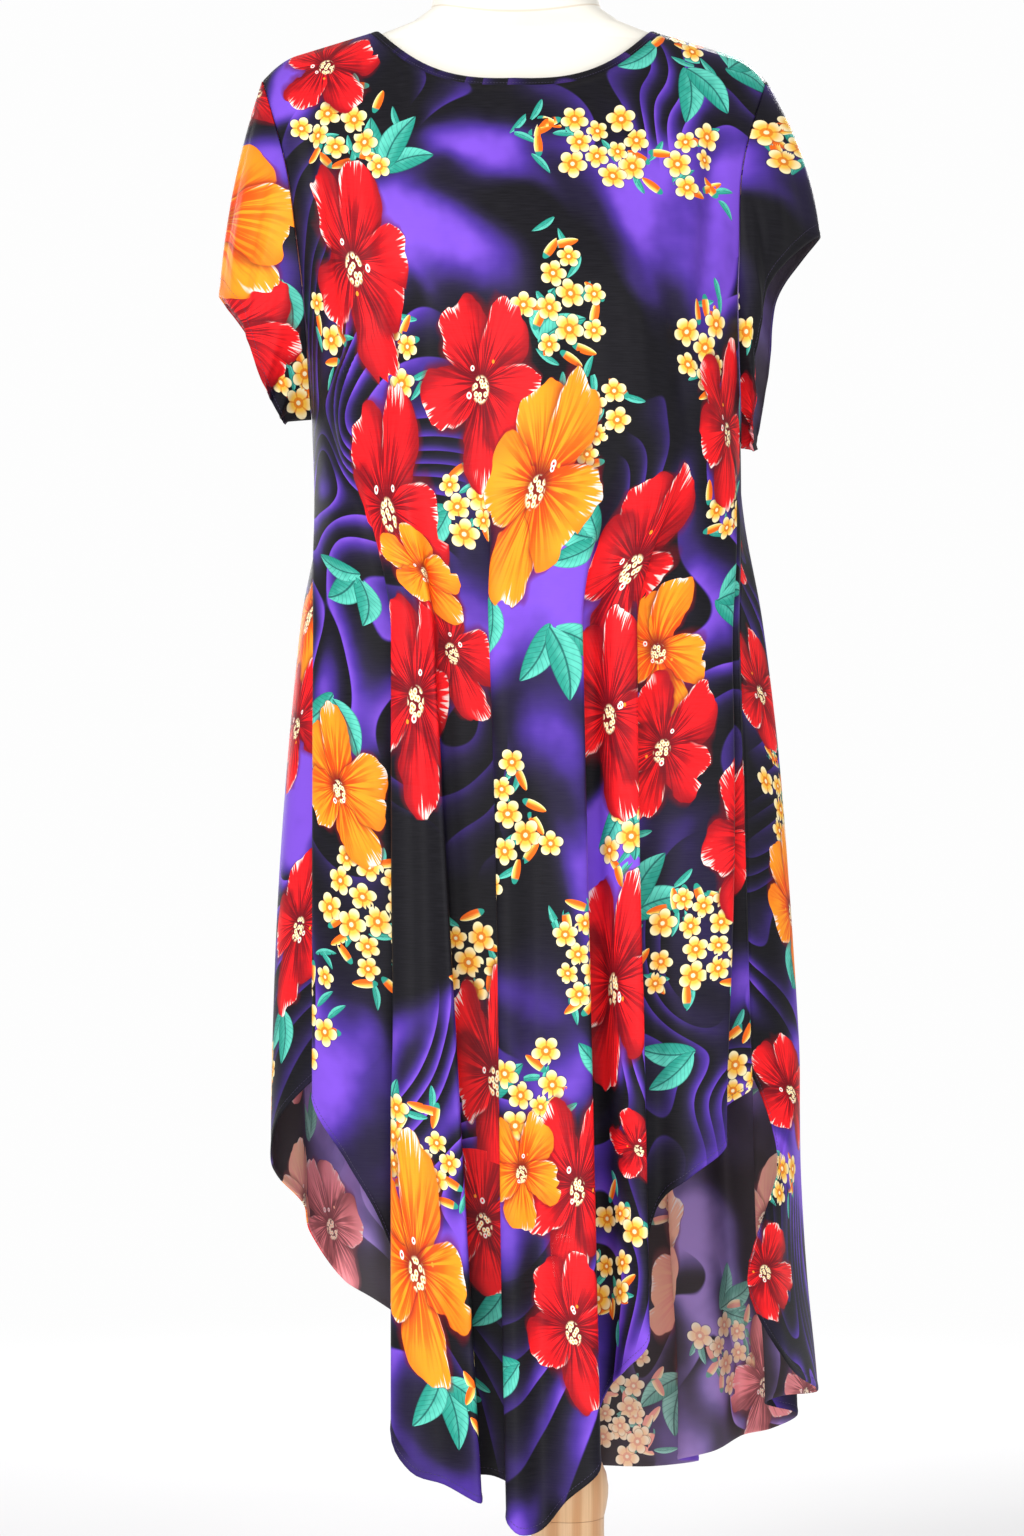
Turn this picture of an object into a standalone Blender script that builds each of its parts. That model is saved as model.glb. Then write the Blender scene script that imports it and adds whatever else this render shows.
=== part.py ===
"""A wide, flared short-sleeved dress hanging on a limbless dress form and its wooden stand.

Metres, +Z up, the front towards -Y. The origin is the centre of the base's underside.
The dress is made of cloth walls. Each panel is a grid of points: its rows run down the
length, its columns run round the girth, and a table of folds says where the cloth turns
forward and back. Left and right are the wearer's, so the wearer's right is at -X.
"""

import math

import bpy
import numpy as np

# ---------------------------------------------------------------- driving sizes
CLOTH = 0.0015  # thickness of every cloth wall
SEAM_GAP = 0.0006  # clear space between two pieces at a seam
SLEEVE_GAP = 0.0014  # the same, between a sleeve and its armhole
FRONT_STEP = 0.0155  # aim for the distance between columns, along the girth
BACK_STEP = 0.0190
ROWS = 21  # down the length of the front and of the back
ARMHOLE_ROWS = 10  # the rows that end at an armhole, from the shoulder down
SLEEVE_ROWS = 8
BINDING_STEPS = 32  # along the front half of the neckline, and again along the back
BINDING_WIDTH = 0.0065
BINDING_GAP = 0.0008

NECK_CENTRE_X = -0.0436
NECK_HALF_WIDTH = 0.1120
NECK_LOW_FRONT = 1.3660
NECK_LOW_BACK = 1.3980
NECK_ROUNDNESS_FRONT = 2.8
NECK_ROUNDNESS_BACK = 3.4

SHOULDER_PEAK = 1.4530  # where both shoulder lines would meet over the neck
SHOULDER_SLOPE = 0.307
SHOULDER_ROUND_FROM = 0.178
SHOULDER_ROUND_REACH = 0.029
SHOULDER_ROUND_DROP = 0.013
CHEST_LEVEL = 1.200  # below it the bodice has its full depth
CHEST_CURVE = 1.5
CHEST_FULLNESS = 0.62
RIDGE_FULLNESS = 0.80  # how deep the bodice stays right out to the shoulder tip
ARMHOLE_WRAP = 0.085  # how far the bodice curves round before the armhole cuts it

UNDERARM_RIGHT = 1.0995
UNDERARM_LEFT = 1.0760
FOLDS_BEGIN = 1.105
FOLDS_FULL = 0.920
FOLD_HIGH = 1.000  # level of the tables' "high" columns
FOLD_LOW = 0.280  # level of the tables' "low" columns
GIRTH_ROUNDNESS = 2.3  # 2 would be an ellipse
FOLD_LEVEL_FOR_LENGTHS = 0.55

# The garment's hull: the outline in front view and the depths in side view.
HULL_COLUMNS = ("level", "right_side", "left_side", "front", "back")
HULL = (
    (1.380, -0.2506, 0.1633, 0.140, 0.110),
    (1.300, -0.2276, 0.1402, 0.141, 0.111),
    (1.230, -0.2172, 0.1366, 0.143, 0.112),
    (1.180, -0.2121, 0.1358, 0.145, 0.114),
    (1.090, -0.2092, 0.1410, 0.148, 0.117),
    (1.014, -0.2080, 0.1468, 0.149, 0.120),
    (0.940, -0.2165, 0.1578, 0.152, 0.126),
    (0.830, -0.2268, 0.1705, 0.158, 0.136),
    (0.715, -0.2345, 0.1790, 0.165, 0.147),
    (0.590, -0.2388, 0.1862, 0.172, 0.158),
    (0.490, -0.2396, 0.1905, 0.178, 0.166),
    (0.400, -0.2375, 0.1960, 0.182, 0.172),
    (0.300, -0.2350, 0.2050, 0.186, 0.177),
    (0.180, -0.2340, 0.2070, 0.190, 0.182),
)

# Folds of the front, from the side seam at -X to the one at +X. Each row is a place where
# the cloth is guided: its x high and low, how far it stands out of the hull, and the hem.
FRONT_FOLD_COLUMNS = ("x_high", "x_low", "out_high", "out_low", "hem")
FRONT_FOLDS = (
    (-0.1960, -0.1900, -0.006, -0.028, 0.579),  # side seam, in a hollow
    (-0.2040, -0.2015, 0.003, 0.005, 0.552),  # first edge, facing outwards
    (-0.1730, -0.1740, 0.001, 0.000, 0.503),
    (-0.1480, -0.1460, -0.006, -0.014, 0.452),
    (-0.1310, -0.1270, -0.014, -0.030, 0.385),
    (-0.1400, -0.1385, 0.006, 0.012, 0.300),  # long edge of the outer flute
    (-0.1290, -0.1230, 0.009, 0.019, 0.272),
    (-0.1210, -0.0980, 0.006, 0.011, 0.262),
    (-0.1120, -0.0710, 0.008, 0.018, 0.250),  # edge facing the middle
    (-0.1080, -0.0760, -0.010, -0.026, 0.262),
    (-0.0880, -0.0600, -0.012, -0.030, 0.262),
    (-0.0580, -0.0430, -0.012, -0.026, 0.252),
    (-0.0660, -0.0510, 0.006, 0.018, 0.238),  # long edge of the middle flute
    (-0.0520, -0.0410, 0.010, 0.024, 0.228),
    (-0.0340, -0.0230, 0.005, 0.013, 0.230),
    (-0.0120, -0.0050, 0.008, 0.020, 0.252),
    (0.0070, 0.0215, 0.008, 0.022, 0.276),  # edge facing the wearer's left
    (0.0050, 0.0180, -0.010, -0.024, 0.300),
    (0.0170, 0.0300, -0.011, -0.026, 0.330),
    (0.0330, 0.0440, 0.003, 0.000, 0.350),
    (0.0500, 0.0615, 0.007, 0.012, 0.372),  # next edge facing the wearer's left
    (0.0485, 0.0580, -0.010, -0.020, 0.420),
    (0.0640, 0.0700, -0.011, -0.024, 0.470),
    (0.0950, 0.0920, -0.001, -0.004, 0.494),
    (0.1290, 0.1170, 0.004, 0.008, 0.518),  # the rising layer's edge
    (0.1250, 0.1110, -0.006, -0.022, 0.535),
    (0.1290, 0.1290, -0.009, -0.024, 0.548),
    (0.1340, 0.1520, -0.004, -0.006, 0.560),
    (0.1375, 0.1580, -0.006, -0.024, 0.571),  # side seam, in a hollow
)

# Folds of the back, from the side seam at +X round behind to the one at -X. "turn" is in
# degrees, 0 at the wearer's left side, 90 at the middle of the back. "swing" is the turn
# added below the side seam's end, where the panel's free front corner falls forward.
BACK_FOLD_COLUMNS = ("turn_high", "turn_low", "out_high", "out_low", "hem", "swing")
BACK_FOLDS = (
    (-12.0, -29.0, -0.003, -0.003, 0.505, -8.0),
    (-7.0, -17.0, 0.000, 0.006, 0.425, -32.0),
    (-1.0, -4.0, 0.000, 0.003, 0.345, -30.0),
    (6.0, 6.0, -0.002, 0.000, 0.306, -9.0),
    (13.0, 17.0, -0.006, -0.018, 0.290, 0.0),
    (22.0, 25.0, -0.007, -0.022, 0.280, 0.0),
    (27.0, 27.0, 0.006, 0.012, 0.268, 0.0),
    (38.0, 36.0, 0.003, 0.008, 0.252, 0.0),
    (46.0, 48.0, 0.006, 0.014, 0.240, 0.0),
    (48.0, 48.0, -0.008, -0.020, 0.232, 0.0),
    (58.0, 58.5, -0.008, -0.024, 0.222, 0.0),
    (61.0, 60.0, 0.006, 0.015, 0.214, 0.0),
    (72.0, 71.0, 0.003, 0.008, 0.208, 0.0),
    (83.0, 84.0, 0.006, 0.015, 0.206, 0.0),
    (85.0, 84.5, -0.008, -0.020, 0.208, 0.0),
    (96.0, 97.0, -0.008, -0.024, 0.222, 0.0),
    (98.0, 97.5, 0.006, 0.016, 0.232, 0.0),
    (110.0, 109.0, 0.003, 0.009, 0.268, 0.0),
    (120.0, 121.0, 0.006, 0.014, 0.318, 0.0),
    (121.0, 121.5, -0.008, -0.020, 0.334, 0.0),
    (133.0, 134.0, -0.008, -0.022, 0.362, 0.0),
    (137.0, 136.0, 0.004, 0.012, 0.378, 0.0),
    (152.0, 150.0, 0.001, 0.004, 0.422, 0.0),
    (162.0, 162.0, -0.004, -0.012, 0.450, 0.0),
    (173.0, 174.0, 0.000, 0.001, 0.476, 0.0),
    (184.0, 186.0, 0.001, 0.004, 0.500, 0.0),
    (195.0, 198.0, 0.000, 0.001, 0.535, 0.0),
)
SWING_BEGINS = 0.600
SWING_FULL = 0.400

# Open rim of each sleeve, once round from its highest place over the front.
CUFF_COLUMNS = ("x", "y", "z")
CUFF_RIGHT = (
    (-0.2860, 0.004, 1.2010),  # top
    (-0.2640, -0.046, 1.1740),
    (-0.2500, -0.046, 1.1320),
    (-0.2330, -0.004, 1.0970),  # under the arm
    (-0.2460, 0.042, 1.1280),
    (-0.2640, 0.046, 1.1700),
)
CUFF_LEFT = (
    (0.2075, 0.004, 1.2500),  # top
    (0.1640, -0.048, 1.2080),
    (0.1520, -0.046, 1.1450),
    (0.1520, -0.004, 1.0735),  # under the arm
    (0.1670, 0.042, 1.1360),
    (0.1760, 0.048, 1.2060),
)
SLEEVE_BULGE_RIGHT = 0.006
SLEEVE_BULGE_LEFT = 0.008

# The form: half width, depth in front and behind, at each level.
FORM_SIDES = 32
FORM_COLUMNS = ("level", "half_width", "front", "back", "roundness")
FORM = (
    (0.600, 0.122, 0.070, 0.082, 2.25),
    (0.612, 0.146, 0.088, 0.100, 2.25),
    (0.680, 0.158, 0.098, 0.108, 2.25),
    (0.780, 0.161, 0.104, 0.110, 2.25),
    (0.880, 0.148, 0.098, 0.092, 2.25),
    (0.955, 0.136, 0.096, 0.080, 2.25),
    (1.040, 0.144, 0.110, 0.084, 2.25),
    (1.130, 0.156, 0.120, 0.090, 2.25),
    (1.210, 0.162, 0.110, 0.084, 2.25),
    (1.300, 0.165, 0.088, 0.070, 2.15),
    (1.355, 0.1640, 0.066, 0.054, 1.90),
    (1.382, 0.1625, 0.052, 0.040, 1.70),
    (1.396, 0.1580, 0.044, 0.033, 1.55),
    (1.4035, 0.1446, 0.041, 0.030, 1.50),
    (1.4090, 0.1262, 0.041, 0.030, 1.50),
    (1.4140, 0.1160, 0.044, 0.031, 1.50),
    (1.4180, 0.1060, 0.048, 0.034, 1.50),
    (1.4250, 0.0860, 0.054, 0.038, 1.75),
    (1.4350, 0.0700, 0.059, 0.043, 2.05),
    (1.4520, 0.0655, 0.060, 0.046, 2.15),
    (1.5000, 0.0640, 0.058, 0.046, 2.15),
)
LEAN_FOOT_LEVEL = 0.600  # the form leans a little to the wearer's right above this level
LEAN_TOP_LEVEL = 1.440
LEAN_AT_TOP = -0.0425
LEAN_AT_FOOT = -0.0100

NECK_CAP_RADIUS = 0.044
NECK_CAP_THICKNESS = 0.010
PART_GAP = 0.0003  # between the hard pieces of the stand

TURNED_SIDES = 32
# Turned profiles, from the bottom up: radius and height.
POST_LOWER = ((0.0300, 0.0223), (0.0300, 0.2005))
POST_COLLAR = (
    (0.0300, 0.2008),
    (0.0318, 0.2085),
    (0.0333, 0.2180),
    (0.0335, 0.2255),
    (0.0318, 0.2360),
    (0.0272, 0.2465),
    (0.0229, 0.2540),
    (0.0212, 0.2640),
)
POST_UPPER = ((0.0200, 0.2643), (0.0200, 0.5997))
BASE = (
    (0.1640, 0.0000),
    (0.1700, 0.0040),
    (0.1700, 0.0150),
    (0.1640, 0.0200),
    (0.0420, 0.0220),
)

IVORY = (0.86, 0.82, 0.74, 1.0)
PINE = (0.72, 0.47, 0.26, 1.0)
PRINT_VIOLET = (0.16, 0.06, 0.42, 1.0)
PRINT_BLACK = (0.02, 0.02, 0.03, 1.0)
PRINT_RED = (0.75, 0.05, 0.06, 1.0)
CLOTH_ROUGHNESS = 0.55
JERSEY_ROUGHNESS = 0.80
WOOD_ROUGHNESS = 0.45


# ---------------------------------------------------------------- small helpers
def column(rows, names, name):
    """One named column of a table, as an array."""
    return np.array([row[names.index(name)] for row in rows], dtype=float)


def ease(value):
    """0 to 1 with a soft start and a soft end."""
    value = min(max(value, 0.0), 1.0)
    return value * value * (3.0 - 2.0 * value)


def read_smoothly(places, values, at):
    """A smooth curve through (places, values), read at one place; places rise."""
    at = min(max(at, places[0]), places[-1])
    index = int(min(max(np.searchsorted(places, at) - 1, 0), len(places) - 2))
    before = max(index - 1, 0)
    after = min(index + 2, len(places) - 1)
    span = places[index + 1] - places[index]
    part = (at - places[index]) / span
    slope_here = (values[index + 1] - values[before]) / (places[index + 1] - places[before])
    slope_next = (values[after] - values[index]) / (places[after] - places[index])
    square = part * part
    cube = square * part
    return (
        (2.0 * cube - 3.0 * square + 1.0) * values[index]
        + (cube - 2.0 * square + part) * span * slope_here
        + (3.0 * square - 2.0 * cube) * values[index + 1]
        + (cube - square) * span * slope_next
    )


HULL_RISING = tuple(reversed(HULL))
HULL_LEVELS = column(HULL_RISING, HULL_COLUMNS, "level")
HULL_RIGHT = column(HULL_RISING, HULL_COLUMNS, "right_side")
HULL_LEFT = column(HULL_RISING, HULL_COLUMNS, "left_side")
HULL_FRONT = column(HULL_RISING, HULL_COLUMNS, "front")
HULL_BACK = column(HULL_RISING, HULL_COLUMNS, "back")


def hull_at(level):
    """Centre x, half width, front depth and back depth of the hull at a level."""
    right = read_smoothly(HULL_LEVELS, HULL_RIGHT, level)
    left = read_smoothly(HULL_LEVELS, HULL_LEFT, level)
    front = read_smoothly(HULL_LEVELS, HULL_FRONT, level)
    back = read_smoothly(HULL_LEVELS, HULL_BACK, level)
    return (right + left) / 2.0, (left - right) / 2.0, front, back


def rounded(part):
    """Depth share at a share of the half width, on a rounded oval."""
    part = min(abs(part), 1.0)
    return (1.0 - part**GIRTH_ROUNDNESS) ** (1.0 / GIRTH_ROUNDNESS)


def oval(angle, centre, half_width, depth_front, depth_back):
    """A point of the hull's oval; 0 is +X, 90 degrees is behind, 180 is -X."""
    power = 2.0 / GIRTH_ROUNDNESS
    cosine = math.cos(angle)
    sine = math.sin(angle)
    depth = depth_back if sine > 0.0 else depth_front
    x = centre + half_width * math.copysign(abs(cosine) ** power, cosine)
    y = depth * math.copysign(abs(sine) ** power, sine)
    return np.array((x, y))


# ---------------------------------------------------------------- folds round the girth
def table_share(level):
    """0 at the tables' high level and 1 at their low level, and a little past each."""
    share = (FOLD_HIGH - level) / (FOLD_HIGH - FOLD_LOW)
    return min(max(share, -0.15), 1.1)


def front_guide(row, level):
    """Where one row of the front table stands at a level, in plan."""
    x_high, x_low, out_high, out_low, _ = row
    share = table_share(level)
    centre, half_width, front, _ = hull_at(level)
    x = x_high + (x_low - x_high) * share
    out = out_high + (out_low - out_high) * share
    depth = front * rounded((x - centre) / half_width)
    slope_to_side = min(abs(x - centre) / half_width, 1.0) ** 3
    x_out = math.copysign(out * slope_to_side * 0.5, x - centre)
    return np.array((x + x_out, -depth - out))


def back_guide(row, level):
    """Where one row of the back table stands at a level, in plan."""
    turn_high, turn_low, out_high, out_low, _, swing = row
    share = table_share(level)
    centre, half_width, front, back = hull_at(level)
    falling = ease((SWING_BEGINS - level) / (SWING_BEGINS - SWING_FULL))
    turn = math.radians(turn_high + (turn_low - turn_high) * share + swing * falling)
    out = out_high + (out_low - out_high) * share
    return oval(turn, centre, half_width + out, front + out, back + out)


def girth_guides(level):
    """All guide points at a level: the front's, then the back's, a closed loop."""
    front = [front_guide(row, level) for row in FRONT_FOLDS]
    back = [back_guide(row, level) for row in BACK_FOLDS]
    return np.array(front + back)


FRONT_COUNT = len(FRONT_FOLDS)
REFERENCE = girth_guides(FOLD_LEVEL_FOR_LENGTHS)
REFERENCE_STEPS = np.linalg.norm(np.roll(REFERENCE, -1, axis=0) - REFERENCE, axis=1)
GIRTH_PLACES = np.concatenate(([0.0], np.cumsum(REFERENCE_STEPS)))  # one more than guides
FRONT_PLACE_END = GIRTH_PLACES[FRONT_COUNT - 1]
GIRTH_END = GIRTH_PLACES[-1]
HEMS = column(FRONT_FOLDS + BACK_FOLDS, FRONT_FOLD_COLUMNS, "hem")


def looped(index):
    """Guide number and place along the girth, for an index that may pass either end."""
    count = len(REFERENCE)
    turns, inside = divmod(index, count)
    return inside, GIRTH_PLACES[inside] + turns * GIRTH_END


def along_girth(values, place):
    """A smooth closed curve through one value (or point) a guide, read at a place."""
    index = int(np.searchsorted(GIRTH_PLACES, place, side="right")) - 1
    index = min(max(index, 0), len(REFERENCE) - 1)
    before, place_before = looped(index - 1)
    here, place_here = looped(index)
    after, place_after = looped(index + 1)
    beyond, place_beyond = looped(index + 2)
    span = place_after - place_here
    part = (place - place_here) / span
    slope_here = (values[after] - values[before]) / (place_after - place_before)
    slope_after = (values[beyond] - values[here]) / (place_beyond - place_here)
    square = part * part
    cube = square * part
    return (
        (2.0 * cube - 3.0 * square + 1.0) * values[here]
        + (cube - 2.0 * square + part) * span * slope_here
        + (3.0 * square - 2.0 * cube) * values[after]
        + (cube - square) * span * slope_after
    )


def smooth_girth(level, place):
    """The hull with no folds: the front spread evenly over its half, so the back too."""
    centre, half_width, front, back = hull_at(level)
    if place <= FRONT_PLACE_END:
        share = place / FRONT_PLACE_END
        angle = -math.pi + math.pi * share
    else:
        share = (place - FRONT_PLACE_END) / (GIRTH_END - FRONT_PLACE_END)
        angle = math.pi * share
    return oval(angle, centre, half_width, front, back)


def shoulder_line(x):
    """Height of the shoulder line over x."""
    away = abs(x - NECK_CENTRE_X)
    past = max(away - SHOULDER_ROUND_FROM, 0.0) / SHOULDER_ROUND_REACH
    return SHOULDER_PEAK - SHOULDER_SLOPE * away - SHOULDER_ROUND_DROP * past * past


def bodice_depth(x, level, depth):
    """How far the bodice stands off the shoulder line's plane at (x, level)."""
    centre, half_width, _, _ = hull_at(level)
    underarm = UNDERARM_RIGHT if x < centre else UNDERARM_LEFT
    rise = ease((level - underarm) / (CHEST_LEVEL + 0.03 - underarm))
    wide = half_width * (1.0 + ARMHOLE_WRAP * rise)
    shape = rounded((x - centre) / wide)
    if level <= CHEST_LEVEL:
        return depth * shape
    ridge = shoulder_line(x)
    part = min((level - CHEST_LEVEL) / (ridge - CHEST_LEVEL), 1.0)
    closing = (1.0 - part**CHEST_CURVE) ** CHEST_FULLNESS
    fade = shape + (RIDGE_FULLNESS - shape) * part * 0.5
    return depth * fade * closing


def neckline(x, low, roundness, lowered):
    """Height over x of the neckline lowered by some width, or the shoulder line outside it."""
    half_width = NECK_HALF_WIDTH + lowered
    part = abs(x - NECK_CENTRE_X) / half_width
    if part >= 1.0:
        return shoulder_line(x)
    side = SHOULDER_PEAK - SHOULDER_SLOPE * half_width
    return low - lowered + (side - low + lowered) * part**roundness


def top_of(share, low, roundness, is_front):
    """Level of a column's top end: on the shoulder seam, or under the neck binding."""
    right, left = edges_at(HULL_LEVELS[-1])
    x = right + (left - right) * share if is_front else left + (right - left) * share
    return neckline(x, low, roundness, BINDING_WIDTH + BINDING_GAP)


def edges_at(level):
    """The outline's two sides at a level."""
    right = read_smoothly(HULL_LEVELS, HULL_RIGHT, level)
    left = read_smoothly(HULL_LEVELS, HULL_LEFT, level)
    return right, left


def bodice_point(share, level, is_front):
    """A point of the bodice, above the folds."""
    sign = -1.0 if is_front else 1.0
    right, left = edges_at(level)
    if is_front:
        place = share * FRONT_PLACE_END
    else:
        place = FRONT_PLACE_END + share * (GIRTH_END - FRONT_PLACE_END)
    round_x = smooth_girth(level, place)[0]
    start, end = (right, left) if is_front else (left, right)
    even_x = start + (end - start) * share
    spread = ease((HULL_LEVELS[-1] + 0.02 - level) / (HULL_LEVELS[-1] + 0.02 - FOLDS_BEGIN))
    x = even_x + (round_x - even_x) * spread
    centre, half_width, front, back = hull_at(level)
    depth = front if is_front else back
    y = sign * bodice_depth(x, level, depth)
    return np.array((x, y, level))


def cloth_point(share, level, is_front):
    """Any point of the front or the back, by its share of the panel's width and its level."""
    if is_front:
        place = share * FRONT_PLACE_END
    else:
        place = FRONT_PLACE_END + share * (GIRTH_END - FRONT_PLACE_END)
    if level >= FOLDS_BEGIN:
        return bodice_point(share, level, is_front)
    plain = bodice_point(share, level, is_front)[:2]
    folded = along_girth(girth_guides(level), place)
    weight = ease((FOLDS_BEGIN - level) / (FOLDS_BEGIN - FOLDS_FULL))
    flat = plain + (folded - plain) * weight
    return np.array((flat[0], flat[1], level))


def hem_at(share, is_front):
    if is_front:
        place = share * FRONT_PLACE_END
    else:
        place = FRONT_PLACE_END + share * (GIRTH_END - FRONT_PLACE_END)
    return along_girth(HEMS, place)


def crowding_at(share, is_front):
    """Power that brings the last armhole row to the underarm's level."""
    right, left = edges_at(HULL_LEVELS[-1])
    powers = []
    for x_tip, underarm, seam_share in (
        (right, UNDERARM_RIGHT, 0.0 if is_front else 1.0),
        (left, UNDERARM_LEFT, 1.0 if is_front else 0.0),
    ):
        tip = shoulder_line(x_tip)
        part = (tip - underarm) / (tip - hem_at(seam_share, is_front))
        powers.append(math.log(part) / math.log(ARMHOLE_ROWS / ROWS))
    from_right = share if is_front else 1.0 - share
    return powers[0] + (powers[1] - powers[0]) * from_right


def column_shares(is_front):
    """Where the columns stand, as shares of the panel's width: each guide has one."""
    first = 0 if is_front else FRONT_COUNT - 1
    last = FRONT_COUNT - 1 if is_front else len(REFERENCE)
    step = FRONT_STEP if is_front else BACK_STEP
    start = GIRTH_PLACES[first]
    width = GIRTH_PLACES[last] - start
    shares = [0.0]
    for guide in range(first, last):
        length = GIRTH_PLACES[guide + 1] - GIRTH_PLACES[guide]
        pieces = max(round(length / step), 2)
        for piece in range(1, pieces + 1):
            shares.append((GIRTH_PLACES[guide] + length * piece / pieces - start) / width)
    shares[-1] = 1.0
    return shares


def panel_points(is_front):
    """The panel's outer face as rows of points."""
    shares = column_shares(is_front)
    columns = len(shares) - 1
    low = NECK_LOW_FRONT if is_front else NECK_LOW_BACK
    roundness = NECK_ROUNDNESS_FRONT if is_front else NECK_ROUNDNESS_BACK
    grid = np.zeros((ROWS + 1, columns + 1, 3))
    for across, share in enumerate(shares):
        z_top = top_of(share, low, roundness, is_front)
        z_hem = hem_at(share, is_front)
        power = crowding_at(share, is_front)
        for down in range(ROWS + 1):
            level = z_top + (z_hem - z_top) * (down / ROWS) ** power
            grid[down, across] = cloth_point(share, level, is_front)
    return grid


# ---------------------------------------------------------------- walls
def unit(vectors):
    lengths = np.linalg.norm(vectors, axis=-1, keepdims=True)
    return vectors / np.maximum(lengths, 1e-12)


def outward(grid, ring):
    """Outward directions of a grid; ring says that its columns close on themselves."""
    if ring:
        across = np.roll(grid, -1, axis=1) - np.roll(grid, 1, axis=1)
    else:
        across = np.empty_like(grid)
        across[:, 1:-1] = grid[:, 2:] - grid[:, :-2]
        across[:, 0] = grid[:, 1] - grid[:, 0]
        across[:, -1] = grid[:, -1] - grid[:, -2]
    down = np.empty_like(grid)
    down[1:-1] = grid[2:] - grid[:-2]
    down[0] = grid[1] - grid[0]
    down[-1] = grid[-1] - grid[-2]
    return unit(np.cross(down, across))


def wall_faces(rows, columns, ring, outer):
    """Triangles of a closed wall: its outer face, its inner face and its edges."""
    width = columns if ring else columns + 1
    inner_start = (rows + 1) * width
    faces = []

    def number(down, across):
        return down * width + across % width

    for down in range(rows):
        for across in range(columns):
            a = number(down, across)
            b = number(down + 1, across)
            c = number(down + 1, across + 1)
            d = number(down, across + 1)
            short = np.linalg.norm(outer[a] - outer[c]) <= np.linalg.norm(outer[b] - outer[d])
            pair = ((a, b, c), (a, c, d)) if short else ((a, b, d), (b, c, d))
            for p, q, r in pair:
                faces.append((p, q, r))
                faces.append((p + inner_start, r + inner_start, q + inner_start))
    rim = []
    for across in range(columns):
        rim.append((number(0, across + 1), number(0, across)))
        rim.append((number(rows, across), number(rows, across + 1)))
    if not ring:
        for down in range(rows):
            rim.append((number(down, 0), number(down + 1, 0)))
            rim.append((number(down + 1, columns), number(down, columns)))
    for p, q in rim:
        faces.append((q, p, p + inner_start))
        faces.append((q, p + inner_start, q + inner_start))
    return faces


def add_mesh(name, points, faces, material, smooth_angle):
    mesh = bpy.data.meshes.new(name)
    mesh.from_pydata([tuple(map(float, point)) for point in points], [], faces)
    mesh.validate()
    mesh.materials.append(material)
    mesh.shade_smooth()
    mesh.set_sharp_from_angle(angle=math.radians(smooth_angle))
    made = bpy.data.objects.new(name, mesh)
    bpy.context.scene.collection.objects.link(made)
    return made


def add_wall(name, grid, directions, ring, material):
    """A closed cloth wall: the grid is its outer face, the inner one lies a cloth behind."""
    rows = grid.shape[0] - 1
    columns = grid.shape[1] if ring else grid.shape[1] - 1
    inner = grid - directions * CLOTH
    outer_points = grid.reshape(-1, 3)
    points = np.concatenate([outer_points, inner.reshape(-1, 3)])
    return add_mesh(name, points, wall_faces(rows, columns, ring, outer_points), material, 50.0)


def add_turned(name, profile, centre, material):
    """A solid of revolution: profile points are (radius, height), from the bottom up."""
    points = []
    for radius, height in profile:
        for side in range(TURNED_SIDES):
            angle = 2.0 * math.pi * side / TURNED_SIDES
            x = centre + radius * math.cos(angle)
            points.append((x, radius * math.sin(angle), height))
    faces = []
    for ring in range(len(profile) - 1):
        for side in range(TURNED_SIDES):
            following = (side + 1) % TURNED_SIDES
            a = ring * TURNED_SIDES + side
            b = ring * TURNED_SIDES + following
            faces.append((a, b, b + TURNED_SIDES, a + TURNED_SIDES))
    last = (len(profile) - 1) * TURNED_SIDES
    faces.append(tuple(reversed(range(TURNED_SIDES))))
    faces.append(tuple(range(last, last + TURNED_SIDES)))
    return add_mesh(name, points, faces, material, 35.0)


# ---------------------------------------------------------------- the form
def lean_at(level):
    share = (level - LEAN_FOOT_LEVEL) / (LEAN_TOP_LEVEL - LEAN_FOOT_LEVEL)
    return LEAN_AT_FOOT + (LEAN_AT_TOP - LEAN_AT_FOOT) * min(max(share, 0.0), 1.05)


def form_ring(level, half_width, front, back, roundness):
    power = 2.0 / roundness
    ring = []
    for side in range(FORM_SIDES):
        angle = 2.0 * math.pi * side / FORM_SIDES
        cosine = math.cos(angle)
        sine = math.sin(angle)
        depth = back if sine > 0.0 else front
        x = lean_at(level) + half_width * math.copysign(abs(cosine) ** power, cosine)
        y = depth * math.copysign(abs(sine) ** power, sine)
        ring.append((x, y, level))
    return ring


def add_form(material):
    points = []
    for row in FORM:
        points.extend(form_ring(*row))
    faces = []
    for ring in range(len(FORM) - 1):
        for side in range(FORM_SIDES):
            following = (side + 1) % FORM_SIDES
            a = ring * FORM_SIDES + side
            b = ring * FORM_SIDES + following
            faces.append((a, b, b + FORM_SIDES, a + FORM_SIDES))
    last = (len(FORM) - 1) * FORM_SIDES
    faces.append(tuple(reversed(range(FORM_SIDES))))
    faces.append(tuple(range(last, last + FORM_SIDES)))
    return add_mesh("form_torso", points, faces, material, 60.0)


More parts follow.
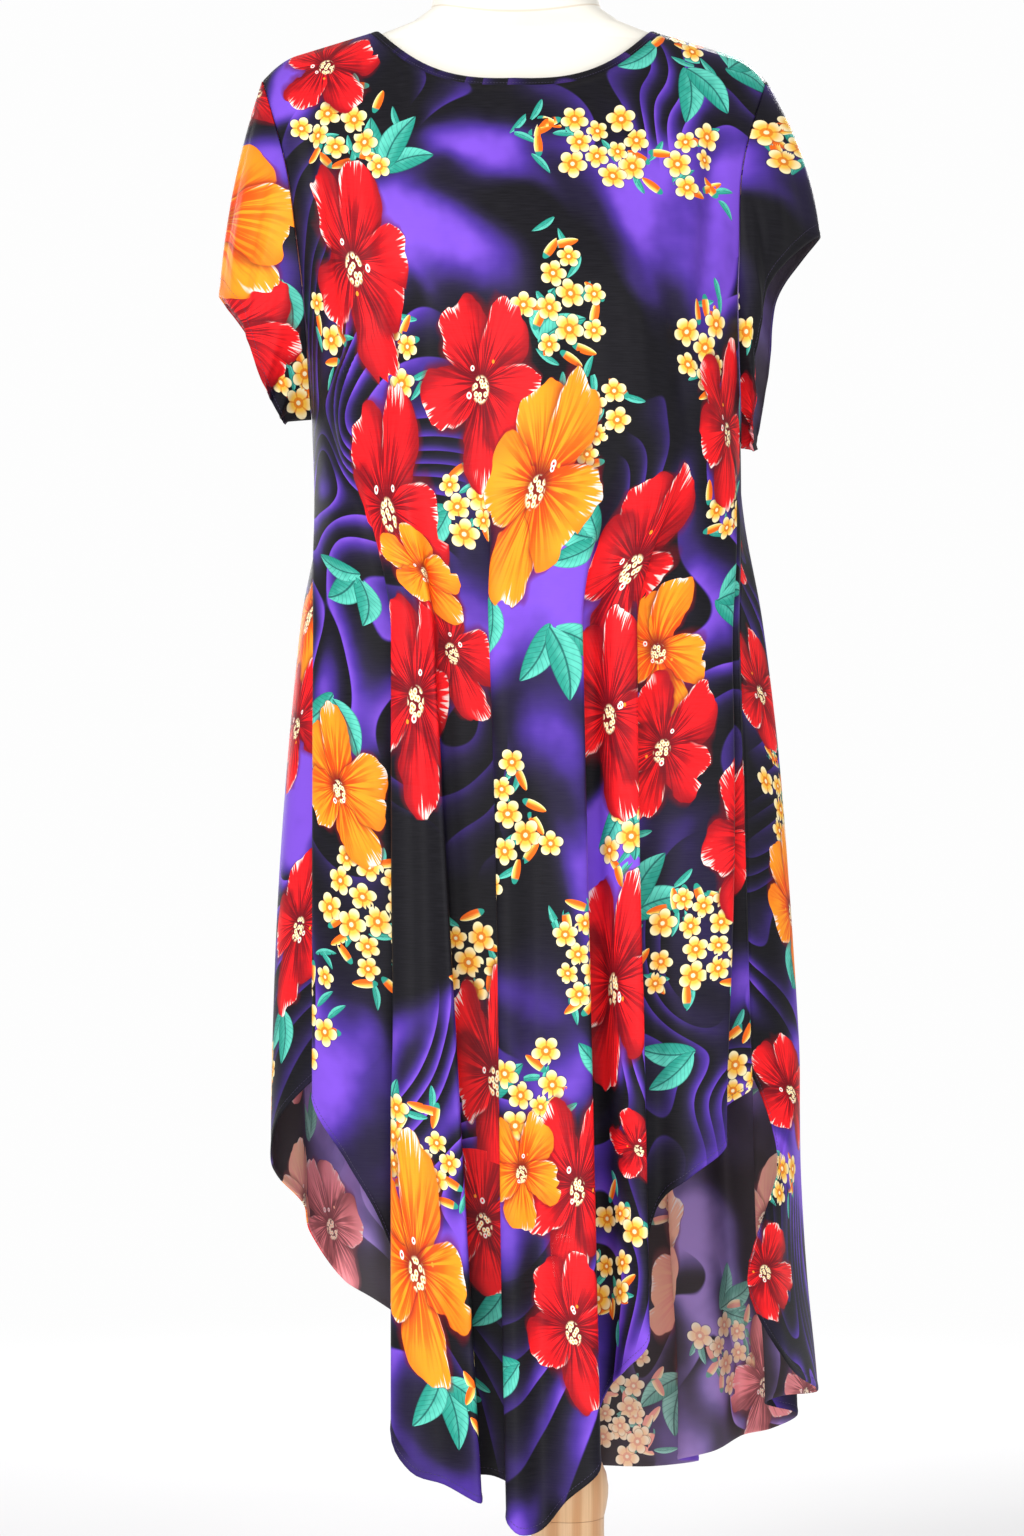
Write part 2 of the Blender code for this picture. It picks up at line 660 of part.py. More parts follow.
# ---------------------------------------------------------------- sleeves and binding
def part_side_seams(front, back, front_out, back_out):
    """Gives both panels one direction at each side seam, and opens the gap between them."""
    for front_end, back_end, sign in ((0, -1, 1.0), (-1, 0, -1.0)):
        front_next = front_end + int(sign)
        back_next = back_end - int(sign)
        for down in range(ARMHOLE_ROWS, ROWS + 1):
            across = (front[down, front_next] - back[down, back_next]) * sign
            above = front[max(down - 1, ARMHOLE_ROWS), front_end]
            below = front[min(down + 1, ROWS), front_end]
            shared = unit(np.cross(below - above, across))
            front_out[down, front_end] = shared
            back_out[down, back_end] = shared
        for down in range(ARMHOLE_ROWS, ROWS + 1):
            step = unit(front[down, front_next] - back[down, back_next])
            front[down, front_end] += step * SEAM_GAP / 2.0
            back[down, back_end] -= step * SEAM_GAP / 2.0


def part_shoulders(grid, directions, is_front):
    """Stands the shoulder edges upright and opens the gap along the shoulder seam."""
    sign = -1.0 if is_front else 1.0
    for across in range(grid.shape[1]):
        if abs(grid[0, across, 0] - NECK_CENTRE_X) < NECK_HALF_WIDTH + BINDING_WIDTH:
            continue
        low = max(across - 1, 0)
        high = min(across + 1, grid.shape[1] - 1)
        along = grid[0, high] - grid[0, low]
        upright = np.array((-along[2], 0.0, along[0])) * math.copysign(1.0, along[0])
        directions[0, across] = unit(upright)
        grid[0, across, 1] = sign * SEAM_GAP / 2.0


def armhole_loop(front, back, front_out, back_out, is_right):
    """The armhole's edge, once round from the shoulder, with its outward directions."""
    front_end, back_end = (0, -1) if is_right else (-1, 0)
    side = -1.0 if is_right else 1.0
    points = []
    directions = []
    for down in range(ARMHOLE_ROWS + 1):
        points.append(front[down, front_end])
        directions.append(front_out[down, front_end])
    for down in range(ARMHOLE_ROWS - 1, 0, -1):
        points.append(back[down, back_end])
        directions.append(back_out[down, back_end])
    points = np.array(points)
    points[0, 1] = 0.0
    points[ARMHOLE_ROWS, 1] = 0.0
    points[:, 0] += side * SLEEVE_GAP
    return points, np.array(directions)


def rim_point(cuff, share):
    """A smooth closed curve through the rim's places, at a share of one round."""
    places = np.array(cuff)
    count = len(places)
    index = int(share * count)
    part = share * count - index
    before, here, after, beyond = (places[(index + step) % count] for step in (-1, 0, 1, 2))
    square = part * part
    cube = square * part
    return (
        (2.0 * cube - 3.0 * square + 1.0) * here
        + (cube - 2.0 * square + part) * (after - before) / 2.0
        + (3.0 * square - 2.0 * cube) * after
        + (cube - square) * (beyond - here) / 2.0
    )


def sleeve_points(start_loop, cuff, bulge, is_right):
    """The sleeve's outer face, from the armhole to its open rim."""
    side = -1.0 if is_right else 1.0
    count = len(start_loop)
    grid = np.zeros((SLEEVE_ROWS + 1, count, 3))
    for across in range(count):
        turn = 2.0 * math.pi * across / count
        sine = math.sin(turn)
        end = rim_point(cuff, across / count)
        start = start_loop[across]
        over = max(math.cos(turn), 0.0)
        for down in range(SLEEVE_ROWS + 1):
            part = down / SLEEVE_ROWS
            point = start + (end - start) * part
            swell = 4.0 * part * (1.0 - part)
            point[0] += side * bulge * swell * (0.35 + 0.65 * over)
            point[1] += (-1.0 if sine > 0.0 else 1.0) * abs(sine) * bulge * swell
            grid[down, across] = point
    return grid


def add_sleeve(name, panels, cuff, bulge, is_right, material):
    loop, edge_directions = armhole_loop(*panels, is_right)
    grid = sleeve_points(loop, cuff, bulge, is_right)
    if not is_right:
        grid = grid[:, ::-1]
        edge_directions = edge_directions[::-1]
    directions = outward(grid, True)
    directions[0] = unit(directions[0] + edge_directions)
    return add_wall(name, grid, directions, True, material)


def binding_points():
    """The neck binding's outer face: a closed band round the neckline."""
    grid = np.zeros((2, 2 * BINDING_STEPS, 3))
    for number in range(2 * BINDING_STEPS):
        angle = math.pi * number / BINDING_STEPS
        is_front = number <= BINDING_STEPS
        low = NECK_LOW_FRONT if is_front else NECK_LOW_BACK
        roundness = NECK_ROUNDNESS_FRONT if is_front else NECK_ROUNDNESS_BACK
        sign = -1.0 if is_front else 1.0
        for down in range(2):
            lowered = BINDING_WIDTH * down
            x = NECK_CENTRE_X - (NECK_HALF_WIDTH + lowered) * math.cos(angle)
            level = neckline(x, low, roundness, lowered)
            _, _, front, back = hull_at(level)
            depth = front if is_front else back
            grid[down, number] = (x, sign * bodice_depth(x, level, depth), level)
    return grid


# ---------------------------------------------------------------- build
def plain_material(name, colour, roughness):
    material = bpy.data.materials.new(name)
    material.use_nodes = True
    shader = material.node_tree.nodes["Principled BSDF"]
    shader.inputs["Base Color"].default_value = colour
    shader.inputs["Roughness"].default_value = roughness
    shader.inputs["Metallic"].default_value = 0.0
    return material


def clear_scene():
    for item in list(bpy.data.objects):
        bpy.data.objects.remove(item, do_unlink=True)


def main():
    clear_scene()
    front_cloth = plain_material("front_cloth", PRINT_VIOLET, CLOTH_ROUGHNESS)
    back_cloth = plain_material("back_cloth", PRINT_BLACK, CLOTH_ROUGHNESS)
    right_cloth = plain_material("right_sleeve_cloth", PRINT_RED, CLOTH_ROUGHNESS)
    left_cloth = plain_material("left_sleeve_cloth", PRINT_VIOLET, CLOTH_ROUGHNESS)
    binding_cloth = plain_material("binding_cloth", PRINT_BLACK, CLOTH_ROUGHNESS)
    jersey = plain_material("form_jersey", IVORY, JERSEY_ROUGHNESS)
    cap_cloth = plain_material("cap_jersey", IVORY, JERSEY_ROUGHNESS)
    wood_names = ("post_lower", "post_collar", "post_upper", "base")
    wood = {name: plain_material(name + "_wood", PINE, WOOD_ROUGHNESS) for name in wood_names}

    front = panel_points(True)
    back = panel_points(False)
    front_out = outward(front, False)
    back_out = outward(back, False)
    part_side_seams(front, back, front_out, back_out)
    part_shoulders(front, front_out, True)
    part_shoulders(back, back_out, False)
    panels = (front, back, front_out, back_out)
    add_wall("dress_front", front, front_out, False, front_cloth)
    add_wall("dress_back", back, back_out, False, back_cloth)
    add_sleeve("sleeve_right", panels, CUFF_RIGHT, SLEEVE_BULGE_RIGHT, True, right_cloth)
    add_sleeve("sleeve_left", panels, CUFF_LEFT, SLEEVE_BULGE_LEFT, False, left_cloth)
    band = binding_points()
    add_wall("neck_binding", band, outward(band, True), True, binding_cloth)

    add_form(jersey)
    cap_foot = FORM[-1][0] + PART_GAP
    cap = (
        (NECK_CAP_RADIUS * 0.86, cap_foot),
        (NECK_CAP_RADIUS * 0.92, cap_foot + NECK_CAP_THICKNESS * 0.4),
        (NECK_CAP_RADIUS * 0.86, cap_foot + NECK_CAP_THICKNESS * 0.85),
        (NECK_CAP_RADIUS * 0.70, cap_foot + NECK_CAP_THICKNESS),
    )
    add_turned("neck_cap", cap, lean_at(FORM[-1][0]), cap_cloth)
    add_turned("post_upper", POST_UPPER, 0.0, wood["post_upper"])
    add_turned("post_collar", POST_COLLAR, 0.0, wood["post_collar"])
    add_turned("post_lower", POST_LOWER, 0.0, wood["post_lower"])
    add_turned("base", BASE, 0.0, wood["base"])


main()
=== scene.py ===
# %% [markdown]
# # A flared, short-sleeved dress on a dress form
#
# The real thing is a loose dress of smooth printed rayon: a front and a back cut very wide
# at the hem, two short sleeves, a narrow binding round the neck and a fine rolled hem, on a
# padded form with a wooden post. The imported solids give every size. Here each cloth piece
# is made again as a fine shell on the same surface, with its print drawn by shader nodes.

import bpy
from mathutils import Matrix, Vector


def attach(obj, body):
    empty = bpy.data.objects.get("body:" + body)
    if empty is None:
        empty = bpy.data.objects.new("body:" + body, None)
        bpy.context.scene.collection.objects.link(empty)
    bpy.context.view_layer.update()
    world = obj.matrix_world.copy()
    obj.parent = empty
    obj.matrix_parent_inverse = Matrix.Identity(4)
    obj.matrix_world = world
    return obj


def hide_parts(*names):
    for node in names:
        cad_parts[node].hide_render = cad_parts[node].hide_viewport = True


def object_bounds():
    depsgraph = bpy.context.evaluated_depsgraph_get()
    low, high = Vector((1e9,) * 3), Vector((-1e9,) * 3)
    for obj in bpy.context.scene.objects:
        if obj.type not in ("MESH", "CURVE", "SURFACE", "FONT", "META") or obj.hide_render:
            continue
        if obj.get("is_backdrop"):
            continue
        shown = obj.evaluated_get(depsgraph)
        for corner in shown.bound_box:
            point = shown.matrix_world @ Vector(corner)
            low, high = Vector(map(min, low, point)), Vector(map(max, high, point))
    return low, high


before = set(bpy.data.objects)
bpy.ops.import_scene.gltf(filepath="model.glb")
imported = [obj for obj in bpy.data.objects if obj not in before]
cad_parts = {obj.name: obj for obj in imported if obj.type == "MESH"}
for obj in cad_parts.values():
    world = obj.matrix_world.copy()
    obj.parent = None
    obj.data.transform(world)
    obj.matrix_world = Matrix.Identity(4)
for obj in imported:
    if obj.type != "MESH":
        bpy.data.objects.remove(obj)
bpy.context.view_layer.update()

# %% [markdown]
# ## Camera
#
# A product photograph like this is taken level, from a few metres away, in front of white.
# The camera looks along +Y at half the height of the frame. The size of the picture at the
# dress sets the lens.

# %% Camera
import math

import bpy
import numpy as np
from mathutils import Vector

CAMERA_X = -0.0456
CAMERA_DISTANCE = 3.1
CAMERA_LEVEL = 0.814
PICTURE_HEIGHT = 1.26  # metres of the dress's plane from the frame's top to its bottom
SENSOR = 36.0  # millimetres along the frame's long side, here its height


def add_object(name, data):
    """A new object of the scene that holds a camera, a lamp or a mesh."""
    made = bpy.data.objects.new(name, data)
    bpy.context.scene.collection.objects.link(made)
    return made


def add_camera():
    data = bpy.data.cameras.new("studio_camera")
    data.sensor_width = SENSOR
    data.lens = SENSOR * CAMERA_DISTANCE / PICTURE_HEIGHT
    camera = add_object("studio_camera", data)
    camera.location = (CAMERA_X, -CAMERA_DISTANCE, CAMERA_LEVEL)
    camera.rotation_euler = (math.radians(90.0), 0.0, 0.0)
    bpy.context.scene.camera = camera
    return data.lens


print("lens", round(add_camera(), 2), "mm")

# %% [markdown]
# ## Light
#
# Big round lamps stand for a studio's soft boxes: a strong one from the left of the front, a
# weak one from its right, a low one that reaches in under the front's hem, and two behind.
# The white room gives the rest. It looks brighter than it shines, so blacks stay black.

# %% Lamps and room
ROOM_SEEN = 0.985  # how bright the room looks
ROOM_CAST = 0.46  # how much light it throws
WHITE = (1.0, 1.0, 1.0, 1.0)
CHEST = (-0.04, 0.0, 0.85)
UNDER_HEM = (0.0, 0.05, 0.45)  # where the wrong side of the back shows
LAMPS = (  # name, place, what it points at, size, watts
    ("key", (-1.9, -2.8, 2.5), CHEST, 1.2, 78.0),
    ("fill", (2.3, -2.5, 1.6), CHEST, 1.6, 26.0),
    ("under_hem", (-0.3, -3.0, 0.45), UNDER_HEM, 1.2, 34.0),
    ("back_key", (0.9, 3.1, 2.4), CHEST, 1.2, 74.0),
    ("back_fill", (-1.3, 3.0, 1.5), CHEST, 1.6, 30.0),
)


def add_soft_light(name, place, towards, size, watts):
    data = bpy.data.lights.new(name, "AREA")
    data.shape = "DISK"
    data.size = size
    data.energy = watts
    lamp = add_object(name, data)
    lamp.location = place
    lamp.rotation_euler = (Vector(towards) - Vector(place)).to_track_quat("-Z", "Y").to_euler()


def add_room():
    world = bpy.data.worlds.new("white_studio")
    world.use_nodes = True
    tree = world.node_tree
    background = tree.nodes["Background"]
    background.inputs["Color"].default_value = WHITE
    path = tree.nodes.new("ShaderNodeLightPath")
    strength = tree.nodes.new("ShaderNodeMapRange")
    strength.inputs["To Min"].default_value = ROOM_CAST
    strength.inputs["To Max"].default_value = ROOM_SEEN
    tree.links.new(path.outputs["Is Camera Ray"], strength.inputs["Value"])
    tree.links.new(strength.outputs["Result"], background.inputs["Strength"])
    bpy.context.scene.world = world


add_room()
for lamp_row in LAMPS:
    add_soft_light(*lamp_row)
bpy.context.scene.view_settings.view_transform = "Standard"
bpy.context.scene.view_settings.look = "None"
print(len(LAMPS), "lamps,", sum(row[-1] for row in LAMPS), "watts in all")

# %% [markdown]
# ## Reckoning with nodes
#
# A print drawn by nodes needs a lot of small sums. Wiring each Math node by hand hides the
# formula, so a socket is wrapped here in a small class, and each sign adds one node. A
# formula below then reads like one on paper. A node that clamps by itself is costly in so
# long a formula, so values are held between 0 and 1 by a maximum and a minimum.

# %% Sockets that can be added and multiplied
class Sum:
    """A float socket that takes part in formulas; id_data is the tree that it is in."""

    def __init__(self, socket):
        self.socket = socket
        self.tree = socket.id_data

    def node(self, operation, *others):
        made = self.tree.nodes.new("ShaderNodeMath")
        made.operation = operation
        for place, value in enumerate((self, *others)):
            feed(value, made.inputs[place])
        return Sum(made.outputs[0])

    def __add__(self, other):
        return self.node("ADD", other)

    def __sub__(self, other):
        return self.node("SUBTRACT", other)

    def __rsub__(self, other):
        return (self * -1.0).node("ADD", other)

    def __mul__(self, other):
        return self.node("MULTIPLY", other)

    __radd__ = __add__
    __rmul__ = __mul__

    def __truediv__(self, other):
        return self.node("DIVIDE", other)

    def __pow__(self, other):
        return self.node("POWER", other)

    def clamped(self):
        return self.node("MAXIMUM", 0.0).node("MINIMUM", 1.0)

    def absolute(self):
        return self.node("ABSOLUTE")


def feed(value, socket):
    """Joins a value to a socket: a Sum or a socket is linked, a number or colour is set."""
    if isinstance(value, Sum):
        value = value.socket
    if isinstance(value, bpy.types.NodeSocket):
        socket.id_data.links.new(value, socket)
    else:
        socket.default_value = value


# %% Steps, blends and noise
def step_between(value, low, high):
    """0 below low, 1 above high, and smooth in between; low may be above high."""
    made = value.tree.nodes.new("ShaderNodeMapRange")
    made.interpolation_type = "SMOOTHSTEP"  # which never leaves 0 to 1, so it needs no clamp
    made.clamp = False
    for given, label in ((value, "Value"), (low, "From Min"), (high, "From Max")):
        feed(given, made.inputs[label])
    return Sum(made.outputs["Result"])


def blend(share, first, second):
    """The first colour where share is 0, the second where it is 1. A Mix node has sockets for
    every kind of data, and only the enabled ones belong to colours."""
    tree = share.tree if isinstance(share, Sum) else first.id_data
    made = tree.nodes.new("ShaderNodeMix")
    made.data_type = "RGBA"
    shown = [socket for socket in made.inputs if socket.enabled]
    for value, socket in zip((share, first, second), shown):
        feed(value, socket)
    return next(socket for socket in made.outputs if socket.enabled)


def distance_of(x, y):
    return (x * x + y * y).node("SQRT")


def split(vector):
    made = vector.id_data.nodes.new("ShaderNodeSeparateXYZ")
    feed(vector, made.inputs[0])
    return [Sum(output) for output in made.outputs]


def join(x, y, z=0.0):
    made = x.tree.nodes.new("ShaderNodeCombineXYZ")
    for value, socket in zip((x, y, z), made.inputs):
        feed(value, socket)
    return made.outputs[0]


def clouds(vector, scale, detail=2.0, distortion=0.0, flat=True):
    """Soft noise from 0 to 1 over a vector; flat noise reads x and y alone."""
    made = vector.id_data.nodes.new("ShaderNodeTexNoise")
    made.noise_dimensions = "2D" if flat else "3D"
    made.inputs["Scale"].default_value = scale
    made.inputs["Detail"].default_value = detail
    made.inputs["Distortion"].default_value = distortion
    feed(vector, made.inputs["Vector"])
    return Sum(made.outputs["Fac"])


# %% Node groups, materials and colours
def new_group(name, inputs, outputs, tree_kind="ShaderNodeTree"):
    """A node group with named sockets: name, kind and, where it has one, value for each."""
    group = bpy.data.node_groups.new(name, tree_kind)
    for way, sockets in (("INPUT", inputs), ("OUTPUT", outputs)):
        for label, kind, *value in sockets:
            socket = group.interface.new_socket(name=label, in_out=way, socket_type="NodeSocket" + kind)
            if value:
                socket.default_value = value[0]
    return group, group.nodes.new("NodeGroupInput"), group.nodes.new("NodeGroupOutput")


def place_group(tree, group, **values):
    """One use of a group; the values are given by the names of its sockets."""
    made = tree.nodes.new("ShaderNodeGroup")
    made.node_tree = group
    for label, value in values.items():
        feed(value, made.inputs[label.capitalize()])
    return made


def new_material(name):
    material = bpy.data.materials.new(name)
    material.use_nodes = True
    tree = material.node_tree
    return material, tree, tree.nodes["Principled BSDF"]


def add_bump(shader, height, strength, distance):
    """Fine relief: the height feeds a Bump node, and that node the shader's normal."""
    bump = shader.id_data.nodes.new("ShaderNodeBump")
    for value, label in ((height, "Height"), (strength, "Strength"), (distance, "Distance")):
        feed(value, bump.inputs[label])
    feed(bump.outputs["Normal"], shader.inputs["Normal"])


def colour_of(red, green, blue):
    """A colour as seen on a screen, 0 to 255, turned into the linear values of the shader."""
    linear = []
    for part in (red, green, blue):
        share = part / 255.0
        linear.append(share / 12.92 if share <= 0.04045 else ((share + 0.055) / 1.055) ** 2.4)
    return (*linear, 1.0)


print("a mid grey on the screen is", round(colour_of(128, 128, 128)[0], 3), "in the shader")

# %% [markdown]
# ## The print: ground
#
# The ground of the cloth is airbrushed: glows of violet on near black, and ribbons that
# curl round them, each bright at one edge and fading to black at the other. A smooth,
# bent noise gives a landscape of hills. Its contour lines curl just as such ribbons do, so
# the share of the way from one contour to the next is the ribbon's own shading.

# %% Ground of the print
VIOLET = colour_of(124, 78, 210)
DEEP_VIOLET = colour_of(74, 46, 150)
SMOKE = colour_of(38, 29, 66)
NEAR_BLACK = colour_of(14, 13, 17)
HILL_SCALE = 4.4  # hills in a metre of cloth
HILL_BEND = 0.95
CONTOURS = 13.0  # ribbons from the deepest valley to the highest hill
BAND_SCALE = 5.2  # patches that carry ribbons, in a metre
GLOW_SCALE = 8.2
HAZE_SCALE = 60.0


def make_ground_group():
    group, source, sink = new_group(
        "swirling_ground", [("Cloth", "Vector")], [("Color", "Color")])
    cloth = source.outputs["Cloth"]
    x, y, _ = split(cloth)
    hills = clouds(join(x, y * 0.78), HILL_SCALE, 0.5, HILL_BEND)
    within = (hills * CONTOURS).node("FRACT")
    ribbon = within * (0.35 + within * 0.65) * step_between(within, 1.0, 0.95)
    where = clouds(join(x + 3.7, y * 0.8 + 7.0), BAND_SCALE, 0.5, 0.3)
    banded = step_between(where, 0.43, 0.53)
    patches = clouds(join(x - 5.1, y * 0.66 + 3.0), GLOW_SCALE, 1.2, 0.5)
    glow = step_between(patches, 0.43, 0.66)
    haze = clouds(cloth, HAZE_SCALE, 1.0)
    lift = (glow * (1.0 - banded) + ribbon * banded * (0.42 + glow * 0.58)) * (0.86 + haze * 0.26)
    low = blend(step_between(lift, 0.0, 0.38), NEAR_BLACK, SMOKE)
    middle = blend(step_between(lift, 0.2, 0.66), low, DEEP_VIOLET)
    high = blend(step_between(lift, 0.5, 1.0), middle, VIOLET)
    feed(high, sink.inputs["Color"])
    return group


ground_group = make_ground_group()
print("ground of the print:", len(ground_group.nodes), "nodes")

# %% [markdown]
# ## The print: motifs
#
# Each motif is drawn once, as a formula in its own small coordinates, where it is about one
# unit in radius. A face of the cloth knows from an attribute which motif it lies under and
# where in it, so one group draws every flower of a kind. The attribute's third number holds
# the kind before the point and the seed behind it. A petal is egg-shaped, with a ruffled
# edge; five of them, laid over each other with a little shade, make a hibiscus.

# %% One petal
PETAL_NEEDS = ("X", "Y", "Turn", "Length", "Width", "Bend", "Wave", "Fan", "Fringe", "Edging")
PETAL_MARKS = ("Mask", "Shade", "Streak", "Rim", "Dark")
HARDLY = 0.001  # keeps a breadth above nothing, so that it can divide


def make_petal_group():
    group, source, sink = new_group(
        "petal",
        [(name, "Float", 0.0) for name in PETAL_NEEDS],
        [(name, "Float") for name in PETAL_MARKS],
    )
    x, y, turn, length, width, bend, wave, fan, fringe, edging = (
        Sum(source.outputs[name]) for name in PETAL_NEEDS)
    cosine = turn.node("COSINE")
    sine = turn.node("SINE")
    along = (x * cosine + y * sine) / length + wave * 0.24
    side = y * cosine - x * sine - bend * along * along + wave * 0.18
    inside = along.clamped()
    square = inside * inside
    breadth = width * (inside * (1.0 - square * square)).node("SQRT") + HARDLY
    across = side / breadth
    edge = across.absolute()
    ahead = step_between(along, 0.0, 0.03) * step_between(along, 1.0, 0.985)
    mask = step_between(edge, 1.0, 0.94) * ahead
    shade = step_between(edge, 1.30, 0.92) * ahead
    streak = step_between(fan - along * 0.14, 0.33, 0.52) * step_between(along, 1.0, 0.25)
    outer = edge.node("MAXIMUM", along * 1.02)
    reach = 0.74 + fringe * 0.36
    tip = step_between(along, 0.30, 0.62) * step_between(across + edging, -0.1, 0.4)
    rim = step_between(outer, reach, reach + 0.09) * tip
    dark = step_between(across, 0.05, -0.95) * 0.75
    for name, value in zip(PETAL_MARKS, (mask, shade, streak, rim, dark)):
        feed(value, sink.inputs[name])
    return group


petal_group = make_petal_group()
print("one petal:", len(petal_group.nodes), "nodes")

# %% [markdown]
# ## The print: hibiscus
#
# The petals are laid down two and two, and the last one alone. A pair stands to both sides
# of its middle, and one petal group draws both, because a place lies on one side only. A
# number worked out from the flower's seed, called luck here, makes each petal differ.

# %% Hibiscus
PETAL_PAIRS = (  # middle and spread in degrees, length, how much longer the second is, width, bend
    (196.0, 70.0, 1.04, 0.05, 0.51, 0.10),
    (126.0, 72.0, 0.96, -0.08, 0.54, -0.12),
    (-22.0, 0.0, 0.92, 0.00, 0.54, 0.14),
)
FLOWER_RED = colour_of(250, 24, 30)
FLOWER_MAROON = colour_of(104, 4, 18)
FLOWER_ORANGE = colour_of(255, 156, 30)
FLOWER_FLAME = colour_of(240, 60, 4)
PETAL_WHITE = colour_of(255, 240, 232)
STAMEN_CREAM = colour_of(255, 246, 200)
STAMEN_GOLD = colour_of(250, 150, 40)
IS_SECOND_KIND = 1.0  # kinds from here up are the orange ones
SEAM_TURN = math.radians(20.0)  # the angle's seam falls between two petals
THROAT_FROM, THROAT_FULL = 0.34, 0.06  # radius over which the throat grows dark


def new_motif_group(name):
    """A group that prints one motif: the ground below it, the socket for what shows, and
    x, y and kind at the place that is being drawn."""
    group, source, sink = new_group(
        name, [("Motif", "Vector"), ("Ground", "Color")], [("Color", "Color")])
    return group, source.outputs["Ground"], sink.inputs["Color"], *split(source.outputs["Motif"])


def make_hibiscus_group():
    group, ground, shown, x, y, kind = new_motif_group("hibiscus")
    orange = kind.node("GREATER_THAN", IS_SECOND_KIND)
    radius = distance_of(x, y)
    angle = (y * math.cos(SEAM_TURN) + x * math.sin(SEAM_TURN)).node(
        "ARCTAN2", x * math.cos(SEAM_TURN) - y * math.sin(SEAM_TURN))
    wave = clouds(join(x + kind * 13.0, y + kind * 7.0), 3.0, 1.5) - 0.5
    fan = clouds(join(angle * 8.0 + kind * 50.0, radius * 0.7), 1.7, 2.0)
    fringe = clouds(join(angle * 24.0 + kind * 50.0, radius * 1.2), 1.6, 0.0)
    body = blend(orange, FLOWER_RED, FLOWER_ORANGE)
    streaks = blend(orange, FLOWER_MAROON, FLOWER_FLAME)
    colour = ground
    for number, (middle, spread, length, lift, width, bend) in enumerate(PETAL_PAIRS):
        off = (angle - (SEAM_TURN + math.radians(middle))).node("WRAP", math.pi, -math.pi)
        hand = off.node("SIGN")
        luck = (kind * (37.7 + 11.3 * number) + hand * 0.23 + 0.37 * number).node("FRACT") - 0.5
        petal = place_group(
            group, petal_group, x=x, y=y,
            turn=hand * math.radians(spread) + luck * 0.46 + math.radians(middle),
            length=hand * lift + luck * 0.24 + length,
            width=luck * -0.12 + width,
            bend=hand * bend,
            wave=wave, fan=fan, fringe=fringe, edging=luck * 1.2,
        )
        marks = {name: Sum(petal.outputs[name]) for name in PETAL_MARKS}
        colour = blend(marks["Shade"] * 0.7, colour, FLOWER_MAROON)
        face = blend(marks["Dark"] * (1.0 - orange * 0.5), body, streaks)
        face = blend(marks["Streak"] * 0.9, face, streaks)
        face = blend(marks["Rim"] * 0.95, face, PETAL_WHITE)
        colour = blend(marks["Mask"], colour, face)
    throat = step_between(radius, THROAT_FROM, THROAT_FULL) * 0.9
    colour = blend(throat, colour, FLOWER_MAROON)
    feed(add_stamens(group, x, y, kind, colour), shown)
    return group


# %% Stamens
STAMEN_SCALE = 14.0  # rings across the knot's unit
STAMEN_LUCK = 0.7
LOOSE_STAMENS = ((0.24, 0.036), (0.21, 0.028), (0.30, 0.018))  # how far off the middle, radius
RINGED_STAMENS = 2  # the first ones are pale rings, the last a golden dot


def add_stamens(group, x, y, kind, colour):
    """A knot of small cream rings a little off the middle, with a few loose ones beside it."""
    low = y + 0.08
    knot = (x * x * 1.3 + low * low).node("SQRT")
    cells = group.nodes.new("ShaderNodeTexVoronoi")
    cells.voronoi_dimensions = "2D"
    cells.inputs["Scale"].default_value = STAMEN_SCALE
    cells.inputs["Randomness"].default_value = STAMEN_LUCK
    feed(join(x + kind, y), cells.inputs["Vector"])
    dot = Sum(cells.outputs["Distance"])
    in_knot = step_between(knot, 0.17, 0.13)
    cream = step_between(dot, 0.52, 0.40) * in_knot
    gold = step_between(dot, 0.22, 0.14) * in_knot
    colour = blend(cream, colour, STAMEN_CREAM)
    colour = blend(gold, colour, STAMEN_GOLD)
    for number, (reach, size) in enumerate(LOOSE_STAMENS):
        spot_turn = kind * (53.0 + 29.0 * number) + number * 2.1
        away = distance_of(x - spot_turn.node("COSINE") * reach, y - spot_turn.node("SINE") * reach)
        ringed = number < RINGED_STAMENS
        dot_colour = PETAL_WHITE if ringed else STAMEN_GOLD
        colour = blend(step_between(away, size + 0.008, size), colour, dot_colour)
        if ringed:
            colour = blend(step_between(away, size * 0.6, size * 0.4), colour, FLOWER_RED)
    return colour


hibiscus_group = make_hibiscus_group()
print("hibiscus:", len(hibiscus_group.nodes) + len(PETAL_PAIRS) * len(petal_group.nodes), "nodes")

# %% [markdown]
# ## The print: small motifs
#
# A small blossom has five like petals, so one is drawn and the angle is folded to repeat
# it. Leaves and buds lie along x and share one outline, whose two powers make its ends
# pointed or round.

# %% Small blossom
BLOSSOM_YELLOW = colour_of(253, 196, 70)
BLOSSOM_CREAM = colour_of(255, 240, 190)
BLOSSOM_ORANGE = colour_of(228, 118, 14)
FIFTH = 2.0 * math.pi / 5.0
PETAL_MIDDLE = 0.60  # radius at which each round petal stands


